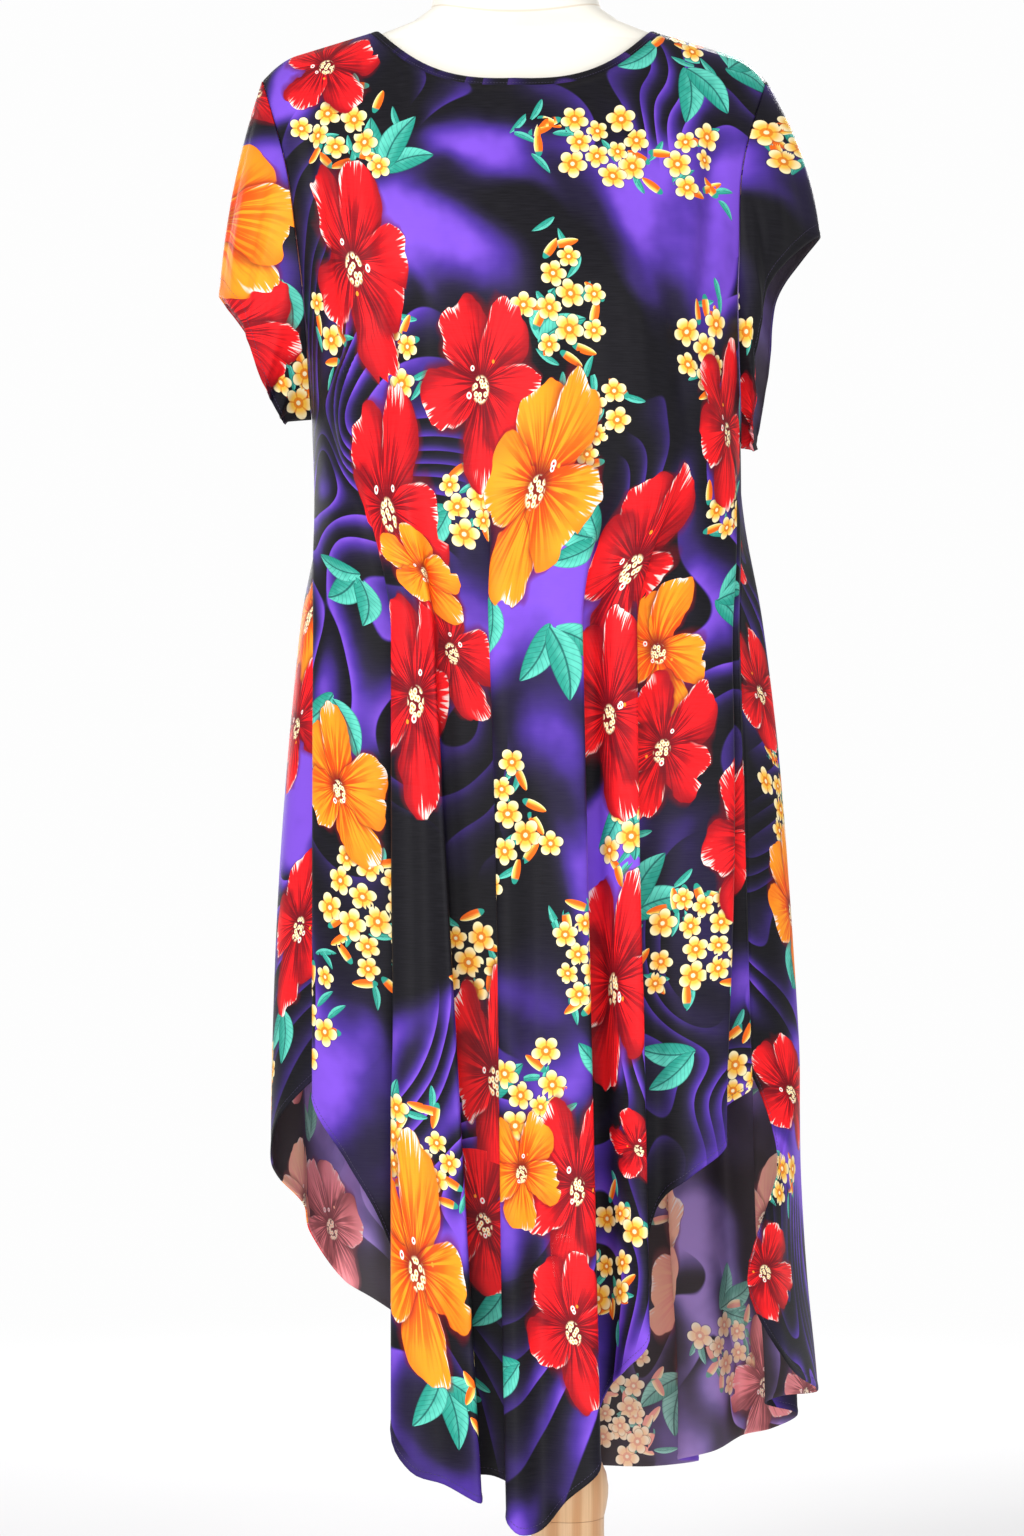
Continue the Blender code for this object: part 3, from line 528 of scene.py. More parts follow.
def make_blossom_group():
    group, ground, shown, x, y, kind = new_motif_group("small_blossom")
    radius = distance_of(x, y)
    angle = y.node("ARCTAN2", x) + kind * 40.0
    folded = angle.node("WRAP", FIFTH / 2.0, -FIFTH / 2.0)
    ahead = radius * folded.node("COSINE") - PETAL_MIDDLE
    side = radius * folded.node("SINE")
    from_petal = (ahead * ahead + side * side * 1.15).node("SQRT")
    mask = step_between(from_petal, 0.42, 0.38).node("MAXIMUM", step_between(radius, 0.34, 0.30))
    tip = blend(step_between(radius, 0.45, 0.95), BLOSSOM_YELLOW, BLOSSOM_CREAM)
    between = step_between(folded.absolute(), FIFTH * 0.36, FIFTH * 0.48)
    face = blend(between * 0.75, tip, BLOSSOM_ORANGE)
    ring = step_between(radius, 0.40, 0.30)
    face = blend(ring * 0.85, face, BLOSSOM_ORANGE)
    face = blend(step_between(radius, 0.17, 0.12), face, BLOSSOM_CREAM)
    outline = step_between(from_petal, 0.50, 0.42) * 0.5
    under = blend(outline, ground, NEAR_BLACK)
    feed(blend(mask, under, face), shown)
    return group


blossom_group = make_blossom_group()

# %% Leaf
LEAF_TEAL = colour_of(38, 150, 132)
LEAF_PALE = colour_of(96, 204, 184)
LEAF_DARK = colour_of(10, 74, 74)
VEINS = 34.0


def across_outline(x, side, width, foot, tip):
    """How far across a leaf's or bud's outline a place is: 0 in its middle, 1 at its edge."""
    share = ((x + 1.0) * 0.5).clamped()
    breadth = width * (share ** foot) * ((1.0 - share) ** tip) + HARDLY
    return side / breadth


def make_leaf_group():
    """A pointed leaf, bent a little, with a middle rib and slanting veins."""
    group, ground, shown, x, y, kind = new_motif_group("leaf")
    bent = y + x * x * 0.16 - 0.05
    across = across_outline(x, bent, 1.16, 0.72, 0.90)
    edge = across.absolute()
    mask = step_between(edge, 1.0, 0.94) * step_between(x.absolute(), 1.0, 0.98)
    slant = (x - edge * 0.34) * VEINS
    vein = step_between(slant.node("SINE"), 0.80, 1.0) * 0.45
    mottle = clouds(join(x * 2.0 + kind * 11.0, across * 1.2), 1.6, 1.0)
    tone = step_between(across + mottle - 0.5, -0.8, 0.9)
    face = blend(tone, LEAF_TEAL, LEAF_PALE)
    face = blend(vein, face, LEAF_DARK)
    rib = step_between(bent.absolute(), 0.035, 0.012)
    face = blend(rib * 0.8, face, LEAF_DARK)
    face = blend(step_between(edge, 0.84, 1.0) * 0.7, face, LEAF_DARK)
    feed(blend(mask, ground, face), shown)
    return group


leaf_group = make_leaf_group()

# %% Bud
BUD_YELLOW = colour_of(255, 205, 90)
BUD_ORANGE = colour_of(240, 104, 16)


def make_bud_group():
    """A closed bud: a pale and a flame-coloured side, and a green cup at its foot."""
    group, ground, shown, x, y, _ = new_motif_group("bud")
    across = across_outline(x, y, 1.05, 0.5, 0.62)
    edge = across.absolute()
    mask = step_between(edge, 1.0, 0.92) * step_between(x.absolute(), 1.0, 0.97)
    face = blend(step_between(across, -0.25, 0.55), BUD_ORANGE, BUD_YELLOW)
    line = step_between((across - 0.15).absolute(), 0.14, 0.04) * step_between(x, -0.4, 0.2)
    face = blend(line * 0.8, face, BLOSSOM_ORANGE)
    face = blend(step_between(across, 0.55, 0.95), face, BLOSSOM_CREAM)
    face = blend(step_between(x, -0.50, -0.66), face, LEAF_TEAL)
    feed(blend(mask, ground, face), shown)
    return group


bud_group = make_bud_group()
print("small motifs:", len(blossom_group.nodes) + len(leaf_group.nodes) + len(bud_group.nodes), "nodes")

# %% [markdown]
# ## The cloth's materials
#
# One group lays the motifs over the ground in the order of a printer's screens: leaves and
# buds below, blossoms, then the large flowers. Most of the cloth has no large flower on it,
# so there it takes a shorter copy of the same print, which draws the same colours in less
# time. The weave is a plain one of very fine threads, a faint grain in the light.

# %% Print
MOTIF_LAYERS = (
    ("leaf_under", leaf_group),
    ("leaf_over", leaf_group),
    ("bud", bud_group),
    ("blossom_under", blossom_group),
    ("blossom_over", blossom_group),
    ("hibiscus_under", hibiscus_group),
    ("hibiscus_over", hibiscus_group),
)
LARGE_LAYERS = 2  # the last layers hold the large flowers


def make_print_group(name, layers):
    group, _, sink = new_group(name, [], [("Color", "Color"), ("Cloth", "Vector")])
    cloth = group.nodes.new("ShaderNodeUVMap")
    cloth.uv_map = "cloth"
    colour = place_group(group, ground_group, cloth=cloth.outputs["UV"]).outputs["Color"]
    for layer, motif_group in layers:
        attribute = group.nodes.new("ShaderNodeAttribute")
        attribute.attribute_name = layer
        colour = place_group(
            group, motif_group, motif=attribute.outputs["Vector"], ground=colour
        ).outputs["Color"]
    feed(colour, sink.inputs["Color"])
    feed(cloth.outputs["UV"], sink.inputs["Cloth"])
    return group


print_groups = {
    "flowers": make_print_group("print", MOTIF_LAYERS),
    "sprays": make_print_group("print_between_flowers", MOTIF_LAYERS[:-LARGE_LAYERS]),
    "bare": make_print_group("print_ground_alone", ()),
}
print("print groups:", ", ".join(print_groups))

# %% Weave
THREADS = 1600.0  # in a metre of cloth


def make_weave_group():
    """Height of a plain weave: warp and weft threads that pass over each other in turn."""
    group, source, sink = new_group(
        "plain_weave",
        [("Cloth", "Vector"), ("Threads", "Float", THREADS)],
        [("Height", "Float"), ("Slub", "Float")],
    )
    x, y, _ = split(source.outputs["Cloth"])
    threads = Sum(source.outputs["Threads"])
    warp = (x * threads * math.pi).node("SINE")
    weft = (y * threads * math.pi).node("SINE")
    slub = clouds(join(x * 60.0, y * 1100.0), 1.0, 1.0)
    feed(warp * weft, sink.inputs["Height"])
    feed(slub, sink.inputs["Slub"])
    return group


weave_group = make_weave_group()
print("weave:", len(weave_group.nodes), "nodes")

# %% [markdown]
# ## The cloth's two sides
#
# On the wrong side of the cloth black ink soaks through, and bright inks show through as pale
# ones, paled further as painted light that stands in for light coming through the thin cloth.
# The binding is cut from a dark part of the print.

# %% Rayon
BARE_CLOTH = colour_of(244, 226, 236)
THREAD_GREY = colour_of(200, 196, 216)
PALED_AND_PAINTED_LIGHT = 0.40  # how far the brightest ink pales on the wrong side: partly ink showing through, partly painted light for light coming through the cloth
PALES_ANYWAY = 0.05  # and how far black does
BINDING_DARKNESS = 0.80
RIGHT_SIDE_ROUGHNESS = 0.50
WRONG_SIDE_ROUGHNESS = 0.66
BINDING_ROUGHNESS = 0.52
SLUB_SHOWS = 0.016  # of the colour
SLUB_DULLS = 0.10  # of the roughness


def as_printed(colour):
    return colour


def wrong_side_pale_and_painted_light(colour):
    """The wrong side's colour: the brighter the ink, the nearer to bare cloth; the paling is partly ink
    that shows through and partly painted light, for light coming through the thin cloth.
    """
    parts = colour.id_data.nodes.new("ShaderNodeSeparateColor")
    feed(colour, parts.inputs["Color"])
    red, green, blue = (Sum(parts.outputs[name]) for name in ("Red", "Green", "Blue"))
    brightest = red.node("MAXIMUM", green).node("MAXIMUM", blue)
    return blend(brightest * PALED_AND_PAINTED_LIGHT + PALES_ANYWAY, colour, BARE_CLOTH)


def darkened(colour):
    return blend(BINDING_DARKNESS, colour, NEAR_BLACK)


def rayon(name, print_group, seen, roughness):
    """Printed rayon; seen turns the print's colour into what this side of the cloth shows."""
    material, tree, shader = new_material(name)
    drawn = place_group(tree, print_group)
    weave = place_group(tree, weave_group, cloth=drawn.outputs["Cloth"])
    colour = seen(drawn.outputs["Color"])
    slub = Sum(weave.outputs["Slub"])
    grain = blend(slub * SLUB_SHOWS, colour, THREAD_GREY)
    feed(grain, shader.inputs["Base Color"])
    feed(slub * SLUB_DULLS + (roughness - SLUB_DULLS / 2.0), shader.inputs["Roughness"])
    shader.inputs["Specular IOR Level"].default_value = 0.09
    add_bump(shader, weave.outputs["Height"], 0.10, 0.0002)
    return material


# In pairs of a right and a wrong side: under large flowers, between them, and on bare ground.
cloth_materials = []
for kind, group in print_groups.items():
    cloth_materials.append(rayon(f"rayon_{kind}", group, as_printed, RIGHT_SIDE_ROUGHNESS))
    cloth_materials.append(rayon(f"rayon_{kind}_wrong_side", group, wrong_side_pale_and_painted_light, WRONG_SIDE_ROUGHNESS))
binding_cloth = rayon("rayon_bias_binding", print_groups["bare"], darkened, BINDING_ROUGHNESS)
print("cloth materials:", len(cloth_materials) + 1)

# %% [markdown]
# ## The dress's surface
#
# A very full dress hangs in deep folds that begin at the bust and open towards the hem, so
# its surface is written as a table of guides: where each crest and valley stands at chest
# height and at the hem. A smooth closed curve through the guides gives the skirt's plan at
# any level. The sizes are the ones that the solids were made from.

# %% Sizes of the dress
SIDES = ("front", "back")
HANDS = ("right", "left")
OUTWARDS = {"right": -1.0, "left": 1.0}  # a sleeve's direction along x
NECK_CENTRE_X = -0.0436
NECK_HALF_WIDTH = 0.1120
NECK_LOW = {"front": 1.3660, "back": 1.3980}
NECK_ROUNDNESS = {"front": 2.8, "back": 3.4}
BINDING_WIDTH = 0.0065
BINDING_GAP = 0.0004
SHOULDER_PEAK = 1.4530
SHOULDER_SLOPE = 0.307
SHOULDER_ROUND_FROM = 0.178
SHOULDER_ROUND_REACH = 0.029
SHOULDER_ROUND_DROP = 0.013
CHEST_LEVEL = 1.200
CHEST_CURVE = 1.5
CHEST_FULLNESS = 0.62
RIDGE_FULLNESS = 0.80
ARMHOLE_WRAP = 0.085
WRAP_ABOVE_CHEST = 0.030
UNDERARM = {"right": 1.0995, "left": 1.0760}
FOLDS_BEGIN = 1.105
FOLDS_FULL = 0.920
FOLD_HIGH = 1.000
FOLD_LOW = 0.280
FOLD_STRETCH = (-0.15, 1.1)  # how far the guides go on above and below those two levels
SWING_BEGINS = 0.600
SWING_FULL = 0.400
GIRTH_ROUNDNESS = 2.3
LEVEL_FOR_LENGTHS = 0.55
ROWS = 21  # of the solids: they set how the armhole is shared out
ARMHOLE_ROWS = 10
CLOTH = 0.0008
print("shoulder", SHOULDER_PEAK, "m up, underarms", UNDERARM["right"], "and", UNDERARM["left"], "m up")

# %% Outline of the dress
# Front view and side view: level, right side, left side, front, back.
HULL = np.array((
    (0.180, -0.2340, 0.2070, 0.190, 0.182),
    (0.300, -0.2350, 0.2050, 0.186, 0.177),
    (0.400, -0.2375, 0.1960, 0.182, 0.172),
    (0.490, -0.2396, 0.1905, 0.178, 0.166),
    (0.590, -0.2388, 0.1862, 0.172, 0.158),
    (0.715, -0.2345, 0.1790, 0.165, 0.147),
    (0.830, -0.2268, 0.1705, 0.158, 0.136),
    (0.940, -0.2165, 0.1578, 0.152, 0.126),
    (1.014, -0.2080, 0.1468, 0.149, 0.120),
    (1.090, -0.2092, 0.1410, 0.148, 0.117),
    (1.180, -0.2121, 0.1358, 0.145, 0.114),
    (1.230, -0.2172, 0.1366, 0.143, 0.112),
    (1.300, -0.2276, 0.1402, 0.141, 0.111),
    (1.380, -0.2506, 0.1633, 0.140, 0.110),
))
print("widest", round(float((HULL[:, 2] - HULL[:, 1]).max()), 3), "m, at the hem")

# %% Folds of the front
# From the side seam at -X: x high and low, stand-out high and low, hem.
FRONT_FOLDS = np.array((
    (-0.1960, -0.1900, -0.006, -0.028, 0.579),  # side seam, in a hollow
    (-0.2040, -0.2015, 0.003, 0.005, 0.552),  # first edge, facing outwards
    (-0.1730, -0.1740, 0.001, 0.000, 0.503),
    (-0.1480, -0.1460, -0.006, -0.014, 0.452),
    (-0.1310, -0.1270, -0.014, -0.030, 0.385),
    (-0.1400, -0.1385, 0.006, 0.012, 0.300),  # long edge of the outer flute
    (-0.1290, -0.1230, 0.009, 0.019, 0.272),
    (-0.1210, -0.0980, 0.006, 0.011, 0.262),
    (-0.1120, -0.0710, 0.008, 0.018, 0.250),  # edge facing the middle
    (-0.1080, -0.0760, -0.010, -0.026, 0.262),
    (-0.0880, -0.0600, -0.012, -0.030, 0.262),
    (-0.0580, -0.0430, -0.012, -0.026, 0.252),
    (-0.0660, -0.0510, 0.006, 0.018, 0.238),  # long edge of the middle flute
    (-0.0520, -0.0410, 0.010, 0.024, 0.228),
    (-0.0340, -0.0230, 0.005, 0.013, 0.230),
    (-0.0120, -0.0050, 0.008, 0.020, 0.252),
    (0.0070, 0.0215, 0.008, 0.022, 0.276),  # edge facing the wearer's left
    (0.0050, 0.0180, -0.010, -0.024, 0.300),
    (0.0170, 0.0300, -0.011, -0.026, 0.330),
    (0.0330, 0.0440, 0.003, 0.000, 0.350),
    (0.0500, 0.0615, 0.007, 0.012, 0.372),  # next edge facing the wearer's left
    (0.0485, 0.0580, -0.010, -0.020, 0.420),
    (0.0640, 0.0700, -0.011, -0.024, 0.470),
    (0.0950, 0.0920, -0.001, -0.004, 0.494),
    (0.1290, 0.1170, 0.004, 0.008, 0.518),  # the rising layer's edge
    (0.1250, 0.1110, -0.006, -0.022, 0.535),
    (0.1290, 0.1290, -0.009, -0.024, 0.548),
    (0.1340, 0.1520, -0.004, -0.006, 0.560),
    (0.1375, 0.1580, -0.006, -0.024, 0.571),  # side seam, in a hollow
))

# %% Folds of the back
# From +X round behind: turn in degrees high and low, stand-out high and low, hem, and the
# turn added low down, where the free front corner falls forward.
BACK_FOLDS = np.array((
    (-12.0, -29.0, -0.003, -0.003, 0.505, -8.0),
    (-7.0, -17.0, 0.000, 0.006, 0.425, -32.0),
    (-1.0, -4.0, 0.000, 0.003, 0.345, -30.0),
    (6.0, 6.0, -0.002, 0.000, 0.306, -9.0),
    (13.0, 17.0, -0.006, -0.018, 0.290, 0.0),
    (22.0, 25.0, -0.007, -0.022, 0.280, 0.0),
    (27.0, 27.0, 0.006, 0.012, 0.268, 0.0),
    (38.0, 36.0, 0.003, 0.008, 0.252, 0.0),
    (46.0, 48.0, 0.006, 0.014, 0.240, 0.0),
    (48.0, 48.0, -0.008, -0.020, 0.232, 0.0),
    (58.0, 58.5, -0.008, -0.024, 0.222, 0.0),
    (61.0, 60.0, 0.006, 0.015, 0.214, 0.0),
    (72.0, 71.0, 0.003, 0.008, 0.208, 0.0),
    (83.0, 84.0, 0.006, 0.015, 0.206, 0.0),
    (85.0, 84.5, -0.008, -0.020, 0.208, 0.0),
    (96.0, 97.0, -0.008, -0.024, 0.222, 0.0),
    (98.0, 97.5, 0.006, 0.016, 0.232, 0.0),
    (110.0, 109.0, 0.003, 0.009, 0.268, 0.0),
    (120.0, 121.0, 0.006, 0.014, 0.318, 0.0),
    (121.0, 121.5, -0.008, -0.020, 0.334, 0.0),
    (133.0, 134.0, -0.008, -0.022, 0.362, 0.0),
    (137.0, 136.0, 0.004, 0.012, 0.378, 0.0),
    (152.0, 150.0, 0.001, 0.004, 0.422, 0.0),
    (162.0, 162.0, -0.004, -0.012, 0.450, 0.0),
    (173.0, 174.0, 0.000, 0.001, 0.476, 0.0),
    (184.0, 186.0, 0.001, 0.004, 0.500, 0.0),
    (195.0, 198.0, 0.000, 0.001, 0.535, 0.0),
))
print("guides:", len(FRONT_FOLDS), "in front and", len(BACK_FOLDS), "behind")

# %% [markdown]
# ## Curves through the tables
#
# A cubic between each two places of a table, with slopes taken from their neighbours, makes
# one smooth curve. The girth is closed, so there the neighbours are counted round.

# %% Smooth curves
def ease(value):
    value = np.clip(value, 0.0, 1.0)
    return value * value * (3.0 - 2.0 * value)


def bow(part, span, first, second, slope_first, slope_second):
    """A cubic from first to second with these slopes, at a part of the span."""
    square = part * part
    cube = square * part
    return (
        (2.0 * cube - 3.0 * square + 1.0) * first
        + (cube - 2.0 * square + part) * span * slope_first
        + (3.0 * square - 2.0 * cube) * second
        + (cube - square) * span * slope_second
    )


def through(places, values, at):
    """A smooth curve through (places, values), read at an array of places."""
    at = np.clip(at, places[0], places[-1])
    here = np.clip(np.searchsorted(places, at) - 1, 0, len(places) - 2)
    before = np.maximum(here - 1, 0)
    after = np.minimum(here + 2, len(places) - 1)
    span = places[here + 1] - places[here]
    slope_here = (values[here + 1] - values[before]) / (places[here + 1] - places[before])
    slope_next = (values[after] - values[here]) / (places[after] - places[here])
    return bow((at - places[here]) / span, span, values[here], values[here + 1], slope_here, slope_next)


def outline_at(level):
    return through(HULL[:, 0], HULL[:, 1], level), through(HULL[:, 0], HULL[:, 2], level)


def edges_at(level, side):
    """x of a panel's first and last edge: the front runs from the right, the back from the left."""
    right, left = outline_at(level)
    return (right, left) if side == "front" else (left, right)


def hull_at(level):
    """Centre x, half width, front depth and back depth of the hull."""
    right, left = outline_at(level)
    front = through(HULL[:, 0], HULL[:, 3], level)
    back = through(HULL[:, 0], HULL[:, 4], level)
    return (right + left) / 2.0, (left - right) / 2.0, front, back


def rounded(part):
    part = np.minimum(np.abs(part), 1.0)
    return (1.0 - part**GIRTH_ROUNDNESS) ** (1.0 / GIRTH_ROUNDNESS)


def oval(angle, centre, half_width, depth_front, depth_back, roundness=GIRTH_ROUNDNESS):
    """x and y round an oval with another depth in front than behind."""
    power = 2.0 / roundness
    cosine = np.cos(angle)
    sine = np.sin(angle)
    depth = np.where(sine > 0.0, depth_back, depth_front)
    x = centre + half_width * np.sign(cosine) * np.abs(cosine) ** power
    return x, depth * np.sign(sine) * np.abs(sine) ** power


# %% Plan of the guides at any level
def guides_at(levels):
    """Plan of every guide at every level, as (levels, guides, 2)."""
    level = levels[:, None]
    share = np.clip((FOLD_HIGH - level) / (FOLD_HIGH - FOLD_LOW), *FOLD_STRETCH)
    centre, half_width, front, back = (part[:, None] for part in hull_at(levels))
    x = FRONT_FOLDS[:, 0] + (FRONT_FOLDS[:, 1] - FRONT_FOLDS[:, 0]) * share
    out = FRONT_FOLDS[:, 2] + (FRONT_FOLDS[:, 3] - FRONT_FOLDS[:, 2]) * share
    off = (x - centre) / half_width
    depth = front * rounded(off)
    x = x + np.sign(off) * out * np.minimum(np.abs(off), 1.0) ** 3 * 0.5
    in_front = np.stack([x, -depth - out], axis=-1)
    falling = ease((SWING_BEGINS - level) / (SWING_BEGINS - SWING_FULL))
    turn = BACK_FOLDS[:, 0] + (BACK_FOLDS[:, 1] - BACK_FOLDS[:, 0]) * share + BACK_FOLDS[:, 5] * falling
    out = BACK_FOLDS[:, 2] + (BACK_FOLDS[:, 3] - BACK_FOLDS[:, 2]) * share
    behind = np.stack(oval(np.radians(turn), centre, half_width + out, front + out, back + out), axis=-1)
    return np.concatenate([in_front, behind], axis=1)


REFERENCE = guides_at(np.array([LEVEL_FOR_LENGTHS]))[0]
GUIDE_COUNT = len(REFERENCE)
STEPS = np.linalg.norm(np.roll(REFERENCE, -1, axis=0) - REFERENCE, axis=1)
PLACES = np.concatenate(([0.0], np.cumsum(STEPS)))
FRONT_END = PLACES[len(FRONT_FOLDS) - 1]
GIRTH = PLACES[-1]
HEMS = np.concatenate([FRONT_FOLDS[:, 4], BACK_FOLDS[:, 4]])
PLAN_LEVELS = np.linspace(0.185, 1.125, 300)
PLANS = guides_at(PLAN_LEVELS)
print("girth at mid length", round(GIRTH, 3), "m, of which in front", round(FRONT_END, 3), "m")


# %% Closed curves round the girth
def place_of(share, side):
    return share * FRONT_END if side == "front" else FRONT_END + share * (GIRTH - FRONT_END)


def round_girth(read, place):
    """A smooth closed curve along the girth; read(numbers) gives the rows of those guides."""
    here = np.clip(np.searchsorted(PLACES, place, side="right") - 1, 0, GUIDE_COUNT - 1)
    before, after, beyond = ((here + move) % GUIDE_COUNT for move in (-1, 1, 2))
    span = STEPS[here, None]
    slope_here = (read(after) - read(before)) / (span + STEPS[before, None])
    slope_after = (read(beyond) - read(here)) / (span + STEPS[after, None])
    part = (place - PLACES[here])[:, None] / span
    return bow(part, span, read(here), read(after), slope_here, slope_after)


def plans_at(level):
    """Reads the guides at each point's own level, between two of the plans made beforehand."""
    at = (level - PLAN_LEVELS[0]) / (PLAN_LEVELS[1] - PLAN_LEVELS[0])
    at = np.clip(at, 0.0, len(PLAN_LEVELS) - 1.001)
    low = at.astype(int)
    part = (at - low)[:, None]
    return lambda numbers: PLANS[low, numbers] * (1.0 - part) + PLANS[low + 1, numbers] * part


def hem_at(share, side):
    return round_girth(lambda numbers: HEMS[numbers, None], place_of(share, side))[:, 0]


for side in SIDES:
    print("hem in the middle of the", side, round(float(hem_at(np.array([0.5]), side)[0]), 3), "m up")

# %% [markdown]
# ## The bodice, and any point of the dress
#
# Above the bust the cloth lies on a rounded bodice that closes towards the shoulder line,
# and lower down it goes over, little by little, into the folds. The neckline is flat in the
# middle, and steep where it reaches the shoulder.

# %% Bodice
def shoulder_line(x):
    away = np.abs(x - NECK_CENTRE_X)
    past = np.maximum(away - SHOULDER_ROUND_FROM, 0.0) / SHOULDER_ROUND_REACH
    return SHOULDER_PEAK - SHOULDER_SLOPE * away - SHOULDER_ROUND_DROP * past * past


def bodice_depth(x, level, depth):
    centre, half_width, _, _ = hull_at(level)
    underarm = np.where(x < centre, UNDERARM["right"], UNDERARM["left"])
    rise = ease((level - underarm) / (CHEST_LEVEL + WRAP_ABOVE_CHEST - underarm))
    shape = rounded((x - centre) / (half_width * (1.0 + ARMHOLE_WRAP * rise)))
    part = np.clip((level - CHEST_LEVEL) / (shoulder_line(x) - CHEST_LEVEL), 0.0, 1.0)
    closing = (1.0 - part**CHEST_CURVE) ** CHEST_FULLNESS
    full = shape + (RIDGE_FULLNESS - shape) * part * 0.5
    return depth * full * closing


def neckline(x, side, lowered):
    half_width = NECK_HALF_WIDTH + lowered
    part = np.abs(x - NECK_CENTRE_X) / half_width
    low = NECK_LOW[side] - lowered
    high = SHOULDER_PEAK - SHOULDER_SLOPE * half_width
    scoop = low + (high - low) * np.minimum(part, 1.0) ** NECK_ROUNDNESS[side]
    return np.where(part >= 1.0, shoulder_line(x), scoop)


def top_of(share, side):
    start, end = edges_at(HULL[-1:, 0], side)
    return neckline(start + (end - start) * share, side, BINDING_WIDTH + BINDING_GAP)


print("neckline's lowest place in front", neckline(NECK_CENTRE_X, "front", 0.0), "m up")

# %% Any point of the dress
SPREAD_ABOVE = 0.02  # above the outline's last level, where a panel is still shared out evenly


def dress_points(share, level, side):
    """Points of the front or the back, by share of the panel's width and by level."""
    centre, half_width, front, back = hull_at(level)
    turn = -math.pi + math.pi * share if side == "front" else math.pi * share
    round_x, _ = oval(turn, centre, half_width, front, back)
    start, end = edges_at(level, side)
    even_x = start + (end - start) * share
    top_level = HULL[-1, 0] + SPREAD_ABOVE
    spread = ease((top_level - level) / (top_level - FOLDS_BEGIN))
    x = even_x + (round_x - even_x) * spread
    sign, depth = (-1.0, front) if side == "front" else (1.0, back)
    plain = np.stack([x, sign * bodice_depth(x, level, depth)], axis=-1)
    folded = round_girth(plans_at(level), place_of(share, side))
    weight = ease((FOLDS_BEGIN - level) / (FOLDS_BEGIN - FOLDS_FULL))[:, None]
    plan = plain + (folded - plain) * weight
    return np.concatenate([plan, level[:, None]], axis=1)


chest = dress_points(np.array([0.5]), np.array([CHEST_LEVEL]), "front")[0]
print("middle of the chest at", chest.round(3))

# %% [markdown]
# ## Flat coordinates of the cloth
#
# A print stays in the cloth, so it has to be drawn in the cloth's flat coordinates and not
# in space: across, the length measured along the folds from the middle of the panel, and
# down, the level. In a deep fold the print then runs in behind the crest and comes out
# again further on, which is what makes a pleated print look cut and shifted.

# %% Length along the folds
LENGTH_LEVELS = np.linspace(0.19, 1.46, 150)
LENGTH_SHARES = np.linspace(0.0, 1.0, 1201)


def lengths_along(side):
    """Length of cloth from the panel's middle, for a grid of levels and shares."""
    share, level = np.meshgrid(LENGTH_SHARES, LENGTH_LEVELS)
    points = dress_points(share.ravel(), level.ravel(), side).reshape(*share.shape, 3)
    steps = np.linalg.norm(np.diff(points[..., :2], axis=1), axis=2)
    lengths = np.concatenate([np.zeros((len(LENGTH_LEVELS), 1)), np.cumsum(steps, axis=1)], axis=1)
    middle = len(LENGTH_SHARES) // 2
    return lengths - lengths[:, middle : middle + 1]


LENGTHS = {side: lengths_along(side) for side in SIDES}


def read_grid(grid, row_at, column_at):
    """A value between the four neighbours of a place in a grid."""
    row = np.clip(row_at.astype(int), 0, grid.shape[0] - 2)
    column = np.clip(column_at.astype(int), 0, grid.shape[1] - 2)
    down = np.clip(row_at - row, 0.0, 1.0)
    across = np.clip(column_at - column, 0.0, 1.0)
    upper = grid[row, column] * (1.0 - across) + grid[row, column + 1] * across
    lower = grid[row + 1, column] * (1.0 - across) + grid[row + 1, column + 1] * across
    return upper * (1.0 - down) + lower * down


def cloth_across(share, level, side):
    row_at = (level - LENGTH_LEVELS[0]) / (LENGTH_LEVELS[1] - LENGTH_LEVELS[0])
    return read_grid(LENGTHS[side], row_at, share * (len(LENGTH_SHARES) - 1))


for side, grid in LENGTHS.items():
    low = grid[int(np.searchsorted(LENGTH_LEVELS, 0.35))]
    print(side, "panel is", round(low[-1] - low[0], 3), "m wide along its folds at 0.35 m")

# %% [markdown]
# ## Making a wall of cloth
#
# Every cloth piece is a grid of points, wrapped into a thin closed shell: the grid itself
# is the outer face, a second grid lies a cloth's thickness behind it, and narrow faces
# close the edges. The outer faces get the right side of the cloth and the inner ones the
# wrong side. The cloth's coordinates go into a UV map, corner by corner.

# %% Shell of cloth from a grid
def unit(vectors):
    return vectors / np.maximum(np.linalg.norm(vectors, axis=-1, keepdims=True), 1e-12)


def outward(grid, ring):
    """Outward directions; ring says that the columns close on themselves."""
    if ring:
        across = np.roll(grid, -1, axis=1) - np.roll(grid, 1, axis=1)
    else:
        across = np.gradient(grid, axis=1)
    return unit(np.cross(np.gradient(grid, axis=0), across))


def quads_of(rows, columns, height, width):
    """Quads between the points of a grid; past its last row or column comes the first again."""
    down, across = (numbers.ravel() for numbers in np.indices((rows, columns)))
    below, following = (down + 1) % height, (across + 1) % width
    turns = ((down, across), (below, across), (below, following), (down, following))
    return np.stack([row * width + column for row, column in turns], axis=1)


def flat_of(flat, rows, columns):
    """The flat places of the corners of the same quads."""
    down, across = (numbers.ravel() for numbers in np.indices((rows, columns)))
    turns = ((down, across), (down + 1, across), (down + 1, across + 1), (down, across + 1))
    return np.stack([flat[turn] for turn in turns], axis=1)


